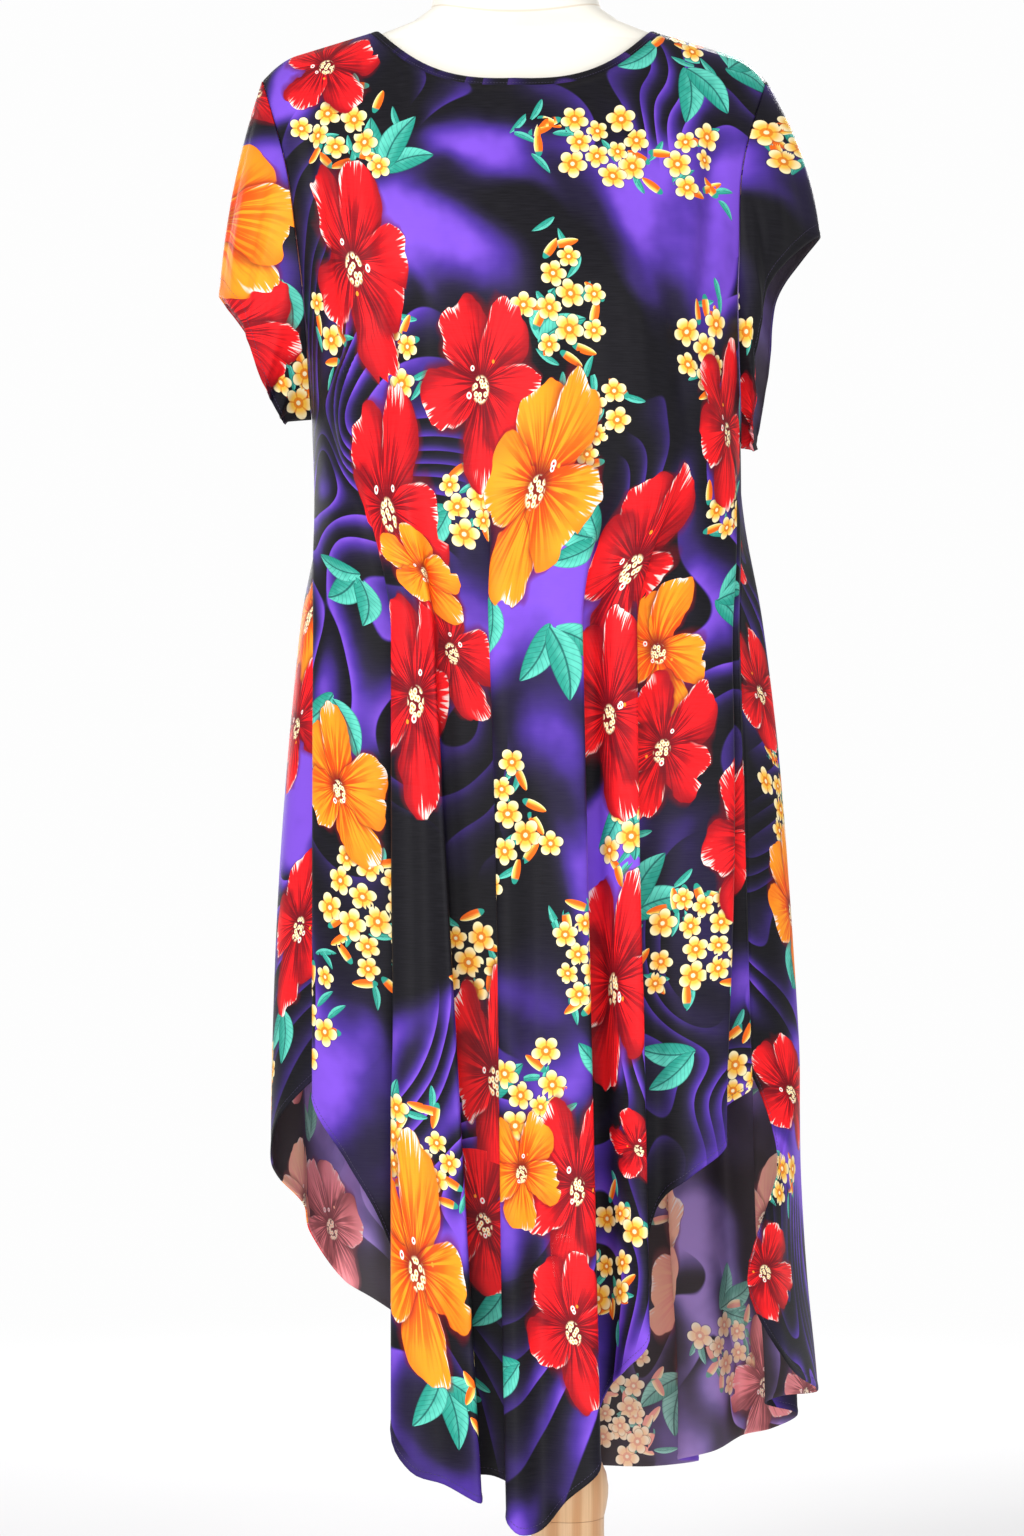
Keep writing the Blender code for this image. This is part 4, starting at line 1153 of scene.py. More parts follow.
def cloth_shell(name, grid, directions, flat, thickness, ring=False):
    """A closed wall of cloth. flat holds the cloth's coordinates, one more column on a ring."""
    width = grid.shape[1]
    rows, columns = grid.shape[0] - 1, width if ring else width - 1
    inner = grid - directions * thickness[..., None]
    points = np.concatenate([grid.reshape(-1, 3), inner.reshape(-1, 3)])
    outer_quads = quads_of(rows, columns, rows + 1, width)
    outer_flat = flat_of(flat, rows, columns)
    below = (rows + 1) * width
    quads = [outer_quads, outer_quads[:, ::-1] + below]
    corners = [outer_flat, outer_flat[:, ::-1]]
    for rim, rim_flat in rims(rows, columns, width, below, flat, ring):
        quads.append(rim)
        corners.append(rim_flat)
    quads = np.concatenate(quads)
    corners = np.concatenate(corners)
    materials = np.zeros(len(quads), dtype=np.int32)
    materials[len(outer_quads) : 2 * len(outer_quads)] = 1  # the wrong side
    mesh = bpy.data.meshes.new(name)
    mesh.from_pydata(points.tolist(), [], quads.tolist())
    mesh.uv_layers.new(name="cloth").data.foreach_set("uv", corners.astype(np.float32).ravel())
    for material in cloth_materials:
        mesh.materials.append(material)
    mesh.polygons.foreach_set("material_index", materials)
    mesh.shade_smooth()
    mesh.update()
    return add_object(name, mesh), corners


def closing(start, end, below, flat_start, flat_end):
    """Quads from an edge of the outer face down to the inner one, with their flat places."""
    quads = np.stack([start, end, end + below, start + below], axis=1)
    return quads, np.stack([flat_start, flat_end, flat_end, flat_start], axis=1)


def rims(rows, columns, width, below, flat, ring):
    """The edges at the top and the bottom and, where the cloth isn't a ring, at both sides."""
    across = np.arange(columns)
    following = (across + 1) % width
    yield closing(across, following, below, flat[0, across], flat[0, across + 1])
    low, low_next = rows * width + across, rows * width + following
    yield closing(low_next, low, below, flat[rows, across + 1], flat[rows, across])
    if ring:
        return
    down = np.arange(rows)
    first, last = down * width, down * width + columns
    yield closing(first + width, first, below, flat[down + 1, 0], flat[down, 0])
    yield closing(last, last + width, below, flat[down, columns], flat[down + 1, columns])


# %% [markdown]
# ## Placing the motifs
#
# The printer's repeat is large, and the pieces are cut from it as they fall, so the motifs
# are laid on each piece by a short table of real sizes: where, how large, how turned. Each
# face of the cloth is given to the nearest motif of its layer and stores, in each corner,
# the place in that motif's own coordinates. Sprays of small blossoms are scattered round a
# centre with a fixed seed, and then moved apart, so that they hardly touch.

# %% Motifs on a piece
FAR_AWAY = 9.0  # a place in a motif's coordinates where nothing of it shows
MOTIF_REACH = 1.45  # radius, in the same coordinates, up to which a face is given to a motif


def in_motif(places, across, level, wide, high, turn):
    """Places of the cloth in the coordinates of a motif, which is about one in radius."""
    angle = math.radians(turn)
    x = places[..., 0] - across
    y = places[..., 1] - level
    cosine, sine = math.cos(angle), math.sin(angle)
    return (x * cosine + y * sine) / wide, (y * cosine - x * sine) / high


def lay_motifs(piece, corners, layer, motifs):
    """motifs: rows of across, level, half width, half height, turn in degrees, kind.
    Returns which faces lie under one of them."""
    centres = corners.mean(axis=1)
    nearest = np.full(len(centres), MOTIF_REACH)
    local = np.full((*corners.shape[:2], 3), FAR_AWAY)
    for *frame_of_motif, kind in motifs:
        distance = np.hypot(*in_motif(centres, *frame_of_motif))
        mine = distance < nearest
        nearest[mine] = distance[mine]
        local[mine, :, 0], local[mine, :, 1] = in_motif(corners[mine], *frame_of_motif)
        local[mine, :, 2] = kind
    attribute = piece.data.attributes.new(layer, "FLOAT_VECTOR", "CORNER")
    attribute.data.foreach_set("vector", local.astype(np.float32).ravel())
    return nearest < MOTIF_REACH


# %% Sprays and fans
BLOSSOM_ROOM = (0.0165, 0.0235)  # width that a blossom takes up
BLOSSOM_SHARE = 0.54  # half width of the blossom itself, of its room
BUD = (0.0105, 0.0075)  # half length, half breadth
LEAFLET = (0.011, 0.0075)
LEAFLET_STRAYS = 0.02
SPREADING_ROUNDS = 40
FAN_TURN = 44.0  # degrees between two leaves of a fan
FAN_SHORTENS = 0.14  # from leaf to leaf, away from the middle one
HIGHEST_SEED = 0.9


def spray(across, level, wide, high, count, seed):
    """Blossoms, buds and leaflets round a centre, no blossom on top of another."""
    random = np.random.default_rng(seed)

    def turn_and_seed():
        return random.uniform(0.0, 360.0), random.uniform(0.0, HIGHEST_SEED)

    places = random.normal(size=(count, 2)) * (wide * 0.5, high * 0.5)
    room = random.uniform(*BLOSSOM_ROOM, size=(count, 1))
    for _ in range(SPREADING_ROUNDS):
        gaps = places[:, None] - places[None]
        far = np.linalg.norm(gaps, axis=2) + np.eye(count)
        push = np.maximum((room + room.T) / 2.0 - far, 0.0) / far * 0.4
        places = places + (gaps * push[..., None]).sum(axis=1)
    places = places + (across, level)
    blossoms = []
    for (x, y), size in zip(places, room[:, 0] * BLOSSOM_SHARE):
        blossoms.append((x, y, size, size * random.uniform(0.85, 1.1), *turn_and_seed()))
    buds = []
    leaves = []
    for _ in range(count):
        turn = random.uniform(0.0, 2.0 * math.pi)
        x = across + wide * 1.15 * math.cos(turn)
        y = level + high * 1.15 * math.sin(turn)
        buds.append((x, y, *BUD, *turn_and_seed()))
        leaf_x = x + random.uniform(-LEAFLET_STRAYS, LEAFLET_STRAYS)
        leaf_y = y + random.uniform(-LEAFLET_STRAYS, LEAFLET_STRAYS)
        leaves.append((leaf_x, leaf_y, *LEAFLET, *turn_and_seed()))
    return blossoms, buds, leaves


def leaf_fan(across, level, turn, half_length, count):
    """Leaves that spread from one foot, the middle one the longest."""
    leaves = []
    for number in range(count):
        off = number - (count - 1) / 2.0
        angle = math.radians(turn + off * FAN_TURN)
        size = half_length * (1.0 - FAN_SHORTENS * abs(off))
        x = across + math.cos(angle) * size
        y = level + math.sin(angle) * size
        seed = (across * 17.0 + level * 31.0 + number * 0.37) % HIGHEST_SEED
        leaves.append((x, y, size, size * 1.15, math.degrees(angle), seed))
    return leaves


# %% Whole print of a piece
def print_piece(piece, corners, flowers, fans, sprays):
    """Lays a piece's print, a layer at a time, and gives each face the shortest material that
    still draws what lies over it."""
    blossoms, buds, leaflets = [], [], []
    for row in sprays:
        for kept, drawn in zip((blossoms, buds, leaflets), spray(*row)):
            kept.extend(drawn)
    leaves = [leaf for row in fans for leaf in leaf_fan(*row)]
    motifs = (
        leaves[::2] + leaflets, leaves[1::2], buds, blossoms[::2], blossoms[1::2],
        [motif for *motif, over in flowers if not over], [motif for *motif, over in flowers if over],
    )
    covered = [lay_motifs(piece, corners, layer, rows) for (layer, _), rows in zip(MOTIF_LAYERS, motifs)]
    small = np.any(covered[:-LARGE_LAYERS], axis=0)
    large = np.any(covered[-LARGE_LAYERS:], axis=0)
    sides = np.zeros(len(corners), dtype=np.int32)
    piece.data.polygons.foreach_get("material_index", sides)
    kinds = np.where(large, 0, np.where(small, 1, 2)).astype(np.int32)
    piece.data.polygons.foreach_set("material_index", sides + 2 * kinds)
    print(piece.name, "carries", len(flowers), "large flowers,", len(blossoms), "blossoms and",
          len(leaves) + len(leaflets), "leaves")


# %% [markdown]
# ## Soft creases
#
# Cloth that hangs from a shoulder never lies flat: it drags in soft ridges and troughs from
# the shoulder, the underarm and the bust. They are too shallow for the solids, so they are
# laid on the fine surface here, each from a row of its own, in the cloth's coordinates.

# %% Creases of the panels
# Across and level at both ends of each, half width, and height, which is negative in a trough.
CREASES = {
    "front": (
        (-0.176, 1.372, -0.158, 1.130, 0.010, -0.0040), (-0.160, 1.368, -0.136, 1.105, 0.012, 0.0036),
        (-0.138, 1.360, -0.112, 1.150, 0.011, -0.0022), (0.170, 1.362, 0.152, 1.140, 0.010, -0.0034),
        (0.154, 1.352, 0.134, 1.165, 0.012, 0.0026), (-0.192, 1.118, -0.098, 1.196, 0.009, -0.0024),
        (-0.190, 1.096, -0.108, 1.166, 0.008, 0.0020), (0.196, 1.094, 0.112, 1.186, 0.009, -0.0026),
        (0.192, 1.070, 0.120, 1.146, 0.008, 0.0020), (-0.066, 1.236, -0.082, 1.040, 0.015, 0.0034),
        (-0.030, 1.212, -0.038, 1.030, 0.012, -0.0036), (0.010, 1.228, 0.010, 1.042, 0.014, 0.0032),
        (0.048, 1.206, 0.056, 1.022, 0.011, -0.0034), (0.084, 1.242, 0.098, 1.052, 0.014, 0.0036),
        (0.122, 1.222, 0.140, 1.030, 0.011, -0.0030), (-0.104, 1.222, -0.128, 1.038, 0.012, -0.0030),
        (-0.146, 1.190, -0.166, 1.010, 0.013, 0.0030), (-0.100, 1.386, -0.086, 1.322, 0.006, -0.0014),
        (-0.016, 1.352, -0.004, 1.284, 0.010, -0.0012), (0.082, 1.384, 0.070, 1.310, 0.007, -0.0014),
        (-0.205, 0.900, -0.214, 0.600, 0.012, 0.0026), (-0.182, 0.860, -0.188, 0.560, 0.010, -0.0024),
        (0.145, 0.900, 0.160, 0.640, 0.010, -0.0022), (0.232, 0.900, 0.262, 0.580, 0.012, 0.0026),
        (-0.018, 0.940, -0.026, 0.420, 0.008, -0.0024), (0.088, 0.860, 0.102, 0.460, 0.008, -0.0020),
    ),
    "back": (
        (0.180, 1.362, 0.160, 1.120, 0.011, -0.0036), (0.162, 1.356, 0.140, 1.140, 0.012, 0.0030),
        (-0.174, 1.356, -0.152, 1.130, 0.010, -0.0032), (-0.154, 1.350, -0.130, 1.160, 0.013, 0.0028),
        (0.190, 1.112, 0.098, 1.180, 0.009, -0.0022), (-0.190, 1.092, -0.104, 1.170, 0.009, -0.0024),
        (0.096, 1.270, 0.110, 1.030, 0.014, 0.0034), (0.056, 1.300, 0.062, 1.020, 0.012, -0.0032),
        (0.018, 1.266, 0.020, 1.036, 0.015, 0.0034), (-0.026, 1.290, -0.030, 1.024, 0.012, -0.0034),
        (-0.064, 1.262, -0.072, 1.040, 0.014, 0.0030), (-0.108, 1.280, -0.122, 1.018, 0.011, -0.0030),
        (0.150, 1.220, 0.168, 1.010, 0.012, -0.0028), (-0.150, 1.204, -0.170, 1.000, 0.013, 0.0028),
        (0.060, 1.390, 0.052, 1.330, 0.008, -0.0014), (-0.070, 1.390, -0.060, 1.334, 0.008, -0.0014),
        (0.262, 0.880, 0.280, 0.540, 0.012, 0.0026), (-0.250, 0.900, -0.276, 0.560, 0.011, -0.0024),
        (0.090, 0.820, 0.096, 0.420, 0.009, -0.0022), (-0.060, 0.840, -0.066, 0.400, 0.010, 0.0024),
    ),
}
EDGE_CALM = 0.035  # metres in from an edge over which the creases die away
CREASE_STRENGTH = 1.35
CREASE_ROUNDNESS = 0.8  # below 1 a crease keeps its height for longer


def creased(rows, across, level):
    """Height of all creases at each place of the cloth."""
    height = np.zeros(across.shape)
    for from_across, from_level, to_across, to_level, half_width, rise in rows:
        run = np.array((to_across - from_across, to_level - from_level))
        length = np.hypot(*run)
        run = run / length
        x, y = across - from_across, level - from_level
        part = (x * run[0] + y * run[1]) / length
        beside = (x * run[1] - y * run[0]) / half_width
        swell = np.sin(np.pi * np.clip(part, 0.0, 1.0)) ** CREASE_ROUNDNESS
        height += rise * swell * np.exp(-beside * beside)
    return height


print("creases:", {side: len(rows) for side, rows in CREASES.items()})

# %% [markdown]
# ## Front and back
#
# Each panel is one fine grid, whose rows share out the length between neckline and hem. The
# rolled hem is a band of four more rows, a little thicker than the cloth. The creases die
# away at the seams, so that neighbouring pieces still meet.

# %% Panels
COLUMN_STEP = {"front": 0.0036, "back": 0.0042}  # along the folds
LEAST_COLUMNS = 3  # between two guides
GUIDES_OF = {"front": (0, len(FRONT_FOLDS) - 1), "back": (len(FRONT_FOLDS) - 1, GUIDE_COUNT)}
PANEL_ROWS = 150
HEM_HEIGHT = 0.0055
HEM_FULLNESS = 0.0005
HEM_STEPS = np.array((0.25, 0.5, 0.75, 1.0))  # of its height
HEM_SWELL = np.sin(np.pi * HEM_STEPS * 0.9) * HEM_FULLNESS


def column_shares(side):
    first, last = GUIDES_OF[side]
    start = PLACES[first]
    width = PLACES[last] - start
    places = [start]
    for guide in range(first, last):
        pieces = max(round(STEPS[guide] / COLUMN_STEP[side]), LEAST_COLUMNS)
        places.extend(PLACES[guide] + STEPS[guide] * np.arange(1, pieces + 1) / pieces)
    return (np.array(places) - start) / width


def panel(side):
    """Grid, directions, flat coordinates and thickness of the front or the back."""
    shares = column_shares(side)
    top = top_of(shares, side)
    hem = hem_at(shares, side)
    down = np.linspace(0.0, 1.0, PANEL_ROWS + 1)[:, None]
    levels = top + (hem + HEM_HEIGHT - top) * down
    band = hem + HEM_HEIGHT * (1.0 - HEM_STEPS)[:, None]
    levels = np.concatenate([levels, band])
    share = np.broadcast_to(shares, levels.shape)
    grid = dress_points(share.ravel(), levels.ravel(), side).reshape(*levels.shape, 3)
    flat = np.stack([cloth_across(share, levels, side), levels], axis=-1)
    inside = np.minimum(flat[..., 0] - flat[:, :1, 0], flat[:, -1:, 0] - flat[..., 0])
    calm = ease(inside / EDGE_CALM) * ease((top - levels) / EDGE_CALM)
    height = creased(CREASES[side], flat[..., 0], flat[..., 1]) * calm * CREASE_STRENGTH
    grid = grid + outward(grid, False) * height[..., None]
    directions = outward(grid, False)
    bulge = np.zeros(levels.shape)
    bulge[PANEL_ROWS + 1 :] = HEM_SWELL[:, None]
    return grid + directions * bulge[..., None], directions, flat, CLOTH + 2.0 * bulge


front_panel = panel("front")
back_panel = panel("back")
dress_front, front_corners = cloth_shell("front_cloth_panel", *front_panel)
dress_back, back_corners = cloth_shell("back_cloth_panel", *back_panel)
for made in (dress_front, dress_back):
    print(made.name, "has", len(made.data.polygons) * 2, "triangles")

# %% [markdown]
# ## What is printed where
#
# Across is measured along the folds from the middle of the panel, and the level is the
# height. A flower over a deep fold so comes out narrower than it was printed. Kinds under 1
# are the red flowers and kinds over 1 the orange ones.

# %% Motifs of the front
# Large flowers: across, level, half width, half height, turn in degrees, kind, and 1 for the
# ones that are printed over their neighbours.
FRONT_FLOWERS = (
    (-0.158, 1.385, 0.046, 0.046, 30.0, 0.17, 0),  # on the right shoulder
    (-0.136, 1.215, 0.046, 0.088, 8.0, 0.23, 0),
    (-0.035, 1.116, 0.048, 0.072, -6.0, 0.31, 0),
    (0.012, 1.036, 0.050, 0.090, -12.0, 1.44, 1),
    (0.188, 1.086, 0.044, 0.064, 4.0, 0.77, 0),  # below the left underarm
    (-0.112, 1.020, 0.047, 0.092, 6.0, 0.52, 0),
    (-0.096, 0.968, 0.032, 0.040, 24.0, 1.61, 1),
    (-0.130, 0.872, 0.048, 0.084, -8.0, 0.68, 1),
    (-0.080, 0.908, 0.036, 0.056, 18.0, 0.83, 0),
    (0.112, 0.975, 0.052, 0.080, -8.0, 0.09, 0),
    (0.110, 0.858, 0.048, 0.074, 6.0, 0.36, 1),
    (0.172, 0.908, 0.044, 0.052, 12.0, 1.71, 0),
    (0.182, 0.832, 0.046, 0.060, -16.0, 0.45, 1),
    (0.122, 0.648, 0.042, 0.084, -2.0, 0.58, 0),
    (-0.062, 0.575, 0.040, 0.080, 0.0, 0.93, 0),
    (-0.245, 0.800, 0.042, 0.060, 14.0, 1.26, 0),
    (0.260, 0.760, 0.042, 0.064, -10.0, 0.88, 0),
    (-0.178, 0.430, 0.044, 0.092, 4.0, 1.83, 1),
    (-0.078, 0.462, 0.044, 0.062, 12.0, 0.26, 0),
    (0.004, 0.505, 0.036, 0.044, 0.0, 1.33, 1),
    (0.050, 0.494, 0.042, 0.070, -6.0, 0.64, 0),
    (0.044, 0.385, 0.042, 0.062, 14.0, 0.14, 1),
    (0.150, 0.520, 0.024, 0.032, 40.0, 0.72, 1),
)
# Fans of leaves: across, level, turn in degrees of the middle leaf, leaf's half length, count.
FRONT_LEAF_FANS = (
    (-0.108, 1.290, 60.0, 0.026, 3), (0.010, 1.148, 50.0, 0.024, 2),
    (-0.182, 0.965, 200.0, 0.026, 3), (-0.058, 1.015, 205.0, 0.022, 2),
    (-0.012, 0.945, 240.0, 0.024, 2), (0.036, 0.925, 285.0, 0.030, 3),
    (0.068, 0.990, 160.0, 0.026, 3), (0.215, 0.950, 10.0, 0.026, 3),
    (-0.240, 0.870, 250.0, 0.030, 3), (0.130, 0.790, 260.0, 0.026, 2),
    (0.160, 0.700, 40.0, 0.030, 2), (0.178, 1.385, 20.0, 0.028, 3),
    (-0.165, 0.345, 280.0, 0.028, 3), (-0.060, 0.410, 250.0, 0.024, 2),
    (0.082, 0.575, 120.0, 0.022, 2), (-0.190, 0.530, 100.0, 0.024, 2),
    (0.225, 0.590, 200.0, 0.024, 2), (-0.020, 0.560, 70.0, 0.020, 2),
    (0.232, 1.090, 60.0, 0.020, 2), (0.000, 0.355, 200.0, 0.022, 2),
    (0.120, 1.398, 190.0, 0.022, 2), (0.145, 1.382, 290.0, 0.028, 2),
)
# Sprays of blossoms: across, level, half width, half height, count, seed.
FRONT_SPRAYS = (
    (-0.140, 1.330, 0.030, 0.030, 8, 3), (0.070, 1.312, 0.045, 0.022, 9, 5),
    (0.135, 1.292, 0.032, 0.020, 6, 6), (0.035, 1.180, 0.020, 0.040, 9, 7),
    (0.062, 1.085, 0.014, 0.034, 6, 8), (-0.044, 1.018, 0.012, 0.034, 5, 9),
    (0.158, 1.146, 0.014, 0.030, 6, 10), (0.190, 1.028, 0.020, 0.022, 5, 11),
    (-0.230, 0.695, 0.026, 0.048, 13, 12), (-0.088, 0.660, 0.024, 0.040, 9, 13),
    (-0.003, 0.772, 0.020, 0.034, 7, 14), (0.220, 0.675, 0.040, 0.034, 13, 15),
    (0.132, 0.766, 0.014, 0.034, 5, 16), (-0.162, 0.510, 0.020, 0.036, 9, 17),
    (0.008, 0.556, 0.022, 0.028, 7, 18), (-0.105, 1.143, 0.012, 0.024, 4, 19),
    (0.056, 0.668, 0.014, 0.036, 7, 20), (-0.170, 1.165, 0.012, 0.024, 3, 21),
    (0.120, 0.440, 0.026, 0.040, 9, 22), (-0.120, 0.330, 0.020, 0.036, 7, 23),
    (-0.046, 0.262, 0.008, 0.030, 4, 26), (0.140, 1.412, 0.020, 0.010, 3, 27),
    (0.300, 0.560, 0.026, 0.040, 8, 24), (-0.300, 0.620, 0.020, 0.030, 5, 25),
)
print_piece(dress_front, front_corners, FRONT_FLOWERS, FRONT_LEAF_FANS, FRONT_SPRAYS)

# %% Motifs of the back
# The back is cut from the same repeat, a little further on. Its middle takes the front's
# rows, shifted, and its two sides, which show beside the front, have rows of their own.
BACK_SHIFT = (0.020, -0.055)  # across and down
BACK_MIDDLE = 0.27  # half width of the middle
BACK_SIDE_FLOWERS = (
    (0.348, 0.940, 0.038, 0.078, 0.0, 1.57, 0), (0.372, 0.850, 0.042, 0.056, 10.0, 0.29, 1),
    (0.437, 0.690, 0.044, 0.064, -6.0, 0.81, 0), (0.335, 0.600, 0.044, 0.060, 8.0, 0.54, 0),
    (0.281, 0.425, 0.044, 0.060, -12.0, 0.38, 1), (0.345, 0.455, 0.036, 0.050, 20.0, 1.29, 0),
    (-0.367, 0.877, 0.042, 0.050, 0.0, 0.66, 0), (-0.471, 0.556, 0.042, 0.046, 12.0, 0.41, 0),
    (-0.563, 0.420, 0.050, 0.040, -14.0, 0.56, 1), (-0.360, 0.440, 0.034, 0.056, 26.0, 1.62, 1),
    (-0.300, 0.290, 0.044, 0.056, 8.0, 0.22, 0), (-0.400, 0.700, 0.040, 0.060, -8.0, 1.18, 0),
    (-0.330, 1.020, 0.040, 0.058, 6.0, 0.87, 0), (0.330, 1.080, 0.038, 0.054, -4.0, 0.13, 0),
    (-0.440, 0.300, 0.040, 0.046, 10.0, 0.47, 1),
)
BACK_SIDE_FANS = (
    (0.330, 0.850, 230.0, 0.024, 2), (0.440, 0.620, 260.0, 0.024, 2), (-0.350, 0.820, 280.0, 0.022, 2),
    (-0.430, 0.640, 40.0, 0.024, 2), (-0.240, 0.350, 150.0, 0.024, 3), (0.300, 0.500, 80.0, 0.022, 2),
)
BACK_SIDE_SPRAYS = (
    (0.330, 0.760, 0.016, 0.036, 7, 31), (0.400, 0.560, 0.018, 0.034, 7, 32),
    (-0.380, 0.780, 0.014, 0.040, 7, 33), (-0.255, 0.320, 0.024, 0.030, 8, 34),
    (-0.090, 0.238, 0.024, 0.022, 7, 35), (-0.520, 0.490, 0.022, 0.022, 5, 36),
    (-0.330, 0.600, 0.020, 0.040, 8, 37), (0.380, 1.000, 0.012, 0.040, 6, 38),
)


def shifted(rows):
    """The front's rows, moved by the shift, where they fall on the middle of the back."""
    moved = [(row[0] + BACK_SHIFT[0], row[1] + BACK_SHIFT[1], *row[2:]) for row in rows]
    return tuple(row for row in moved if abs(row[0]) < BACK_MIDDLE)


print_piece(
    dress_back, back_corners, shifted(FRONT_FLOWERS) + BACK_SIDE_FLOWERS,
    shifted(FRONT_LEAF_FANS) + BACK_SIDE_FANS, shifted(FRONT_SPRAYS) + BACK_SIDE_SPRAYS,
)

# %% [markdown]
# ## Sleeves
#
# A short set-in sleeve starts from the whole armhole and ends in an open rim. The armhole
# is the side edge of the two panels, so the sleeve is spanned from those very points to a
# rim that was read as six places, with a little fullness over the arm.

# %% Armhole and rim
# Six places of the rim, once round from its highest one over the front.
RIMS = {
    "right": np.array((
        (-0.2860, 0.004, 1.2010), (-0.2640, -0.046, 1.1740), (-0.2500, -0.046, 1.1320),
        (-0.2330, -0.004, 1.0970), (-0.2460, 0.042, 1.1280), (-0.2640, 0.046, 1.1700),
    )),
    "left": np.array((
        (0.2075, 0.004, 1.2500), (0.1640, -0.048, 1.2080), (0.1520, -0.046, 1.1450),
        (0.1520, -0.004, 1.0735), (0.1670, 0.042, 1.1360), (0.1760, 0.048, 1.2060),
    )),
}
SLEEVE_GAP = 0.0008  # between the armhole's edge and the sleeve
SLEEVE_ROUND = 200
HALF_ROUND = SLEEVE_ROUND // 2


def armhole_levels(hand, side):
    """Levels down the armhole's edge, shared out as on the solids."""
    share = 0.0 if (hand == "right") == (side == "front") else 1.0
    tip = shoulder_line(edges_at(HULL[-1:, 0], side)[int(share)])
    hem = hem_at(np.array([share]), side)
    power = math.log(((tip - UNDERARM[hand]) / (tip - hem))[0]) / math.log(ARMHOLE_ROWS / ROWS)
    part = np.linspace(0.0, ARMHOLE_ROWS / ROWS, HALF_ROUND + 1)
    return share, tip + (hem - tip) * part**power


def armhole(hand):
    edges = []
    for side in SIDES:
        share, levels = armhole_levels(hand, side)
        edges.append(dress_points(np.full(len(levels), share), levels, side))
    loop = np.concatenate([edges[0], edges[1][-2:0:-1]])
    loop[[0, HALF_ROUND], 1] = 0.0
    loop[:, 0] += SLEEVE_GAP * OUTWARDS[hand]
    return loop


def rim_of(hand, share):
    """A smooth closed curve through the rim's places."""
    places = RIMS[hand]
    at = share * len(places)
    here = at.astype(int) % len(places)
    before, after, beyond = (places[(here + move) % len(places)] for move in (-1, 1, 2))
    first = places[here]
    part = (at - at.astype(int))[:, None]
    return bow(part, 1.0, first, after, (after - before) / 2.0, (beyond - first) / 2.0)


for hand in HANDS:
    print(hand, "armhole is", round(float(np.ptp(armhole(hand)[:, 2])), 3), "m deep")

# %% Creases of the sleeves
# Ridges and troughs that run out from the armhole: place round it, half width, height,
# and how far along the sleeve each one is highest.
SLEEVE_CREASES = {
    "right": (
        (0.045, 0.016, -0.0016, 0.55), (0.105, 0.022, 0.0024, 0.60), (0.165, 0.018, -0.0026, 0.50),
        (0.225, 0.020, 0.0022, 0.70), (0.300, 0.024, -0.0024, 0.55), (0.365, 0.018, 0.0026, 0.80),
        (0.415, 0.012, -0.0028, 0.85), (0.450, 0.010, 0.0026, 0.90), (0.485, 0.009, -0.0026, 0.90),
        (0.520, 0.010, 0.0024, 0.85), (0.560, 0.012, -0.0026, 0.80), (0.625, 0.020, 0.0026, 0.60),
        (0.700, 0.022, -0.0028, 0.55), (0.780, 0.024, 0.0024, 0.60), (0.860, 0.020, -0.0022, 0.50),
        (0.930, 0.018, 0.0018, 0.60),
    ),
    "left": (
        (0.060, 0.018, -0.0018, 0.60), (0.130, 0.020, 0.0022, 0.55), (0.190, 0.018, -0.0024, 0.60),
        (0.260, 0.024, 0.0024, 0.70), (0.330, 0.018, -0.0026, 0.75), (0.395, 0.014, 0.0026, 0.85),
        (0.440, 0.011, -0.0026, 0.90), (0.480, 0.010, 0.0024, 0.90), (0.520, 0.010, -0.0024, 0.85),
        (0.570, 0.016, 0.0024, 0.75), (0.640, 0.020, -0.0026, 0.60), (0.730, 0.024, 0.0026, 0.60),
        (0.815, 0.020, -0.0022, 0.55), (0.900, 0.022, 0.0020, 0.60),
    ),
}
SLEEVE_CREASE_REACH = 0.36  # of the sleeve's length, to each side of the highest place
SLEEVE_SEAM_CALM = 0.15  # of its length, in from the armhole


def sleeve_creased(hand, turn, part):
    height = np.zeros(np.broadcast(turn, part).shape)
    for place, half_width, rise, highest in SLEEVE_CREASES[hand]:
        beside = (turn - place) / half_width
        along = (part - highest) / SLEEVE_CREASE_REACH
        height += rise * np.exp(-beside * beside - along * along)
    return height * ease(part / SLEEVE_SEAM_CALM)


# %% Sleeves
SLEEVE_ROWS = 60
SLEEVE_FULLNESS = {"right": 0.006, "left": 0.008}
SLEEVE_HEM_ROWS = 3
SLEEVE_HEM_FULLNESS = 0.0004


def sleeve_flat(closed):
    """The cloth's coordinates: out from the armhole, and the level. The sleeve opens at the
    underarm, and its back half is folded over along the ridge that starts at the shoulder."""
    steps = np.linalg.norm(np.diff(closed[..., :2], axis=0), axis=2)
    out = np.cumsum(np.concatenate([np.zeros((1, closed.shape[1])), steps]), axis=0)
    flat = np.stack([out, closed[..., 2]], axis=-1)
    middle = closed.shape[1] // 2
    tip = flat[0, middle]
    ridge = unit(flat[-1, middle] - tip)
    reach = flat[:, :middle] - tip
    flat[:, :middle] = tip + 2.0 * (reach @ ridge)[..., None] * ridge - reach
    return flat


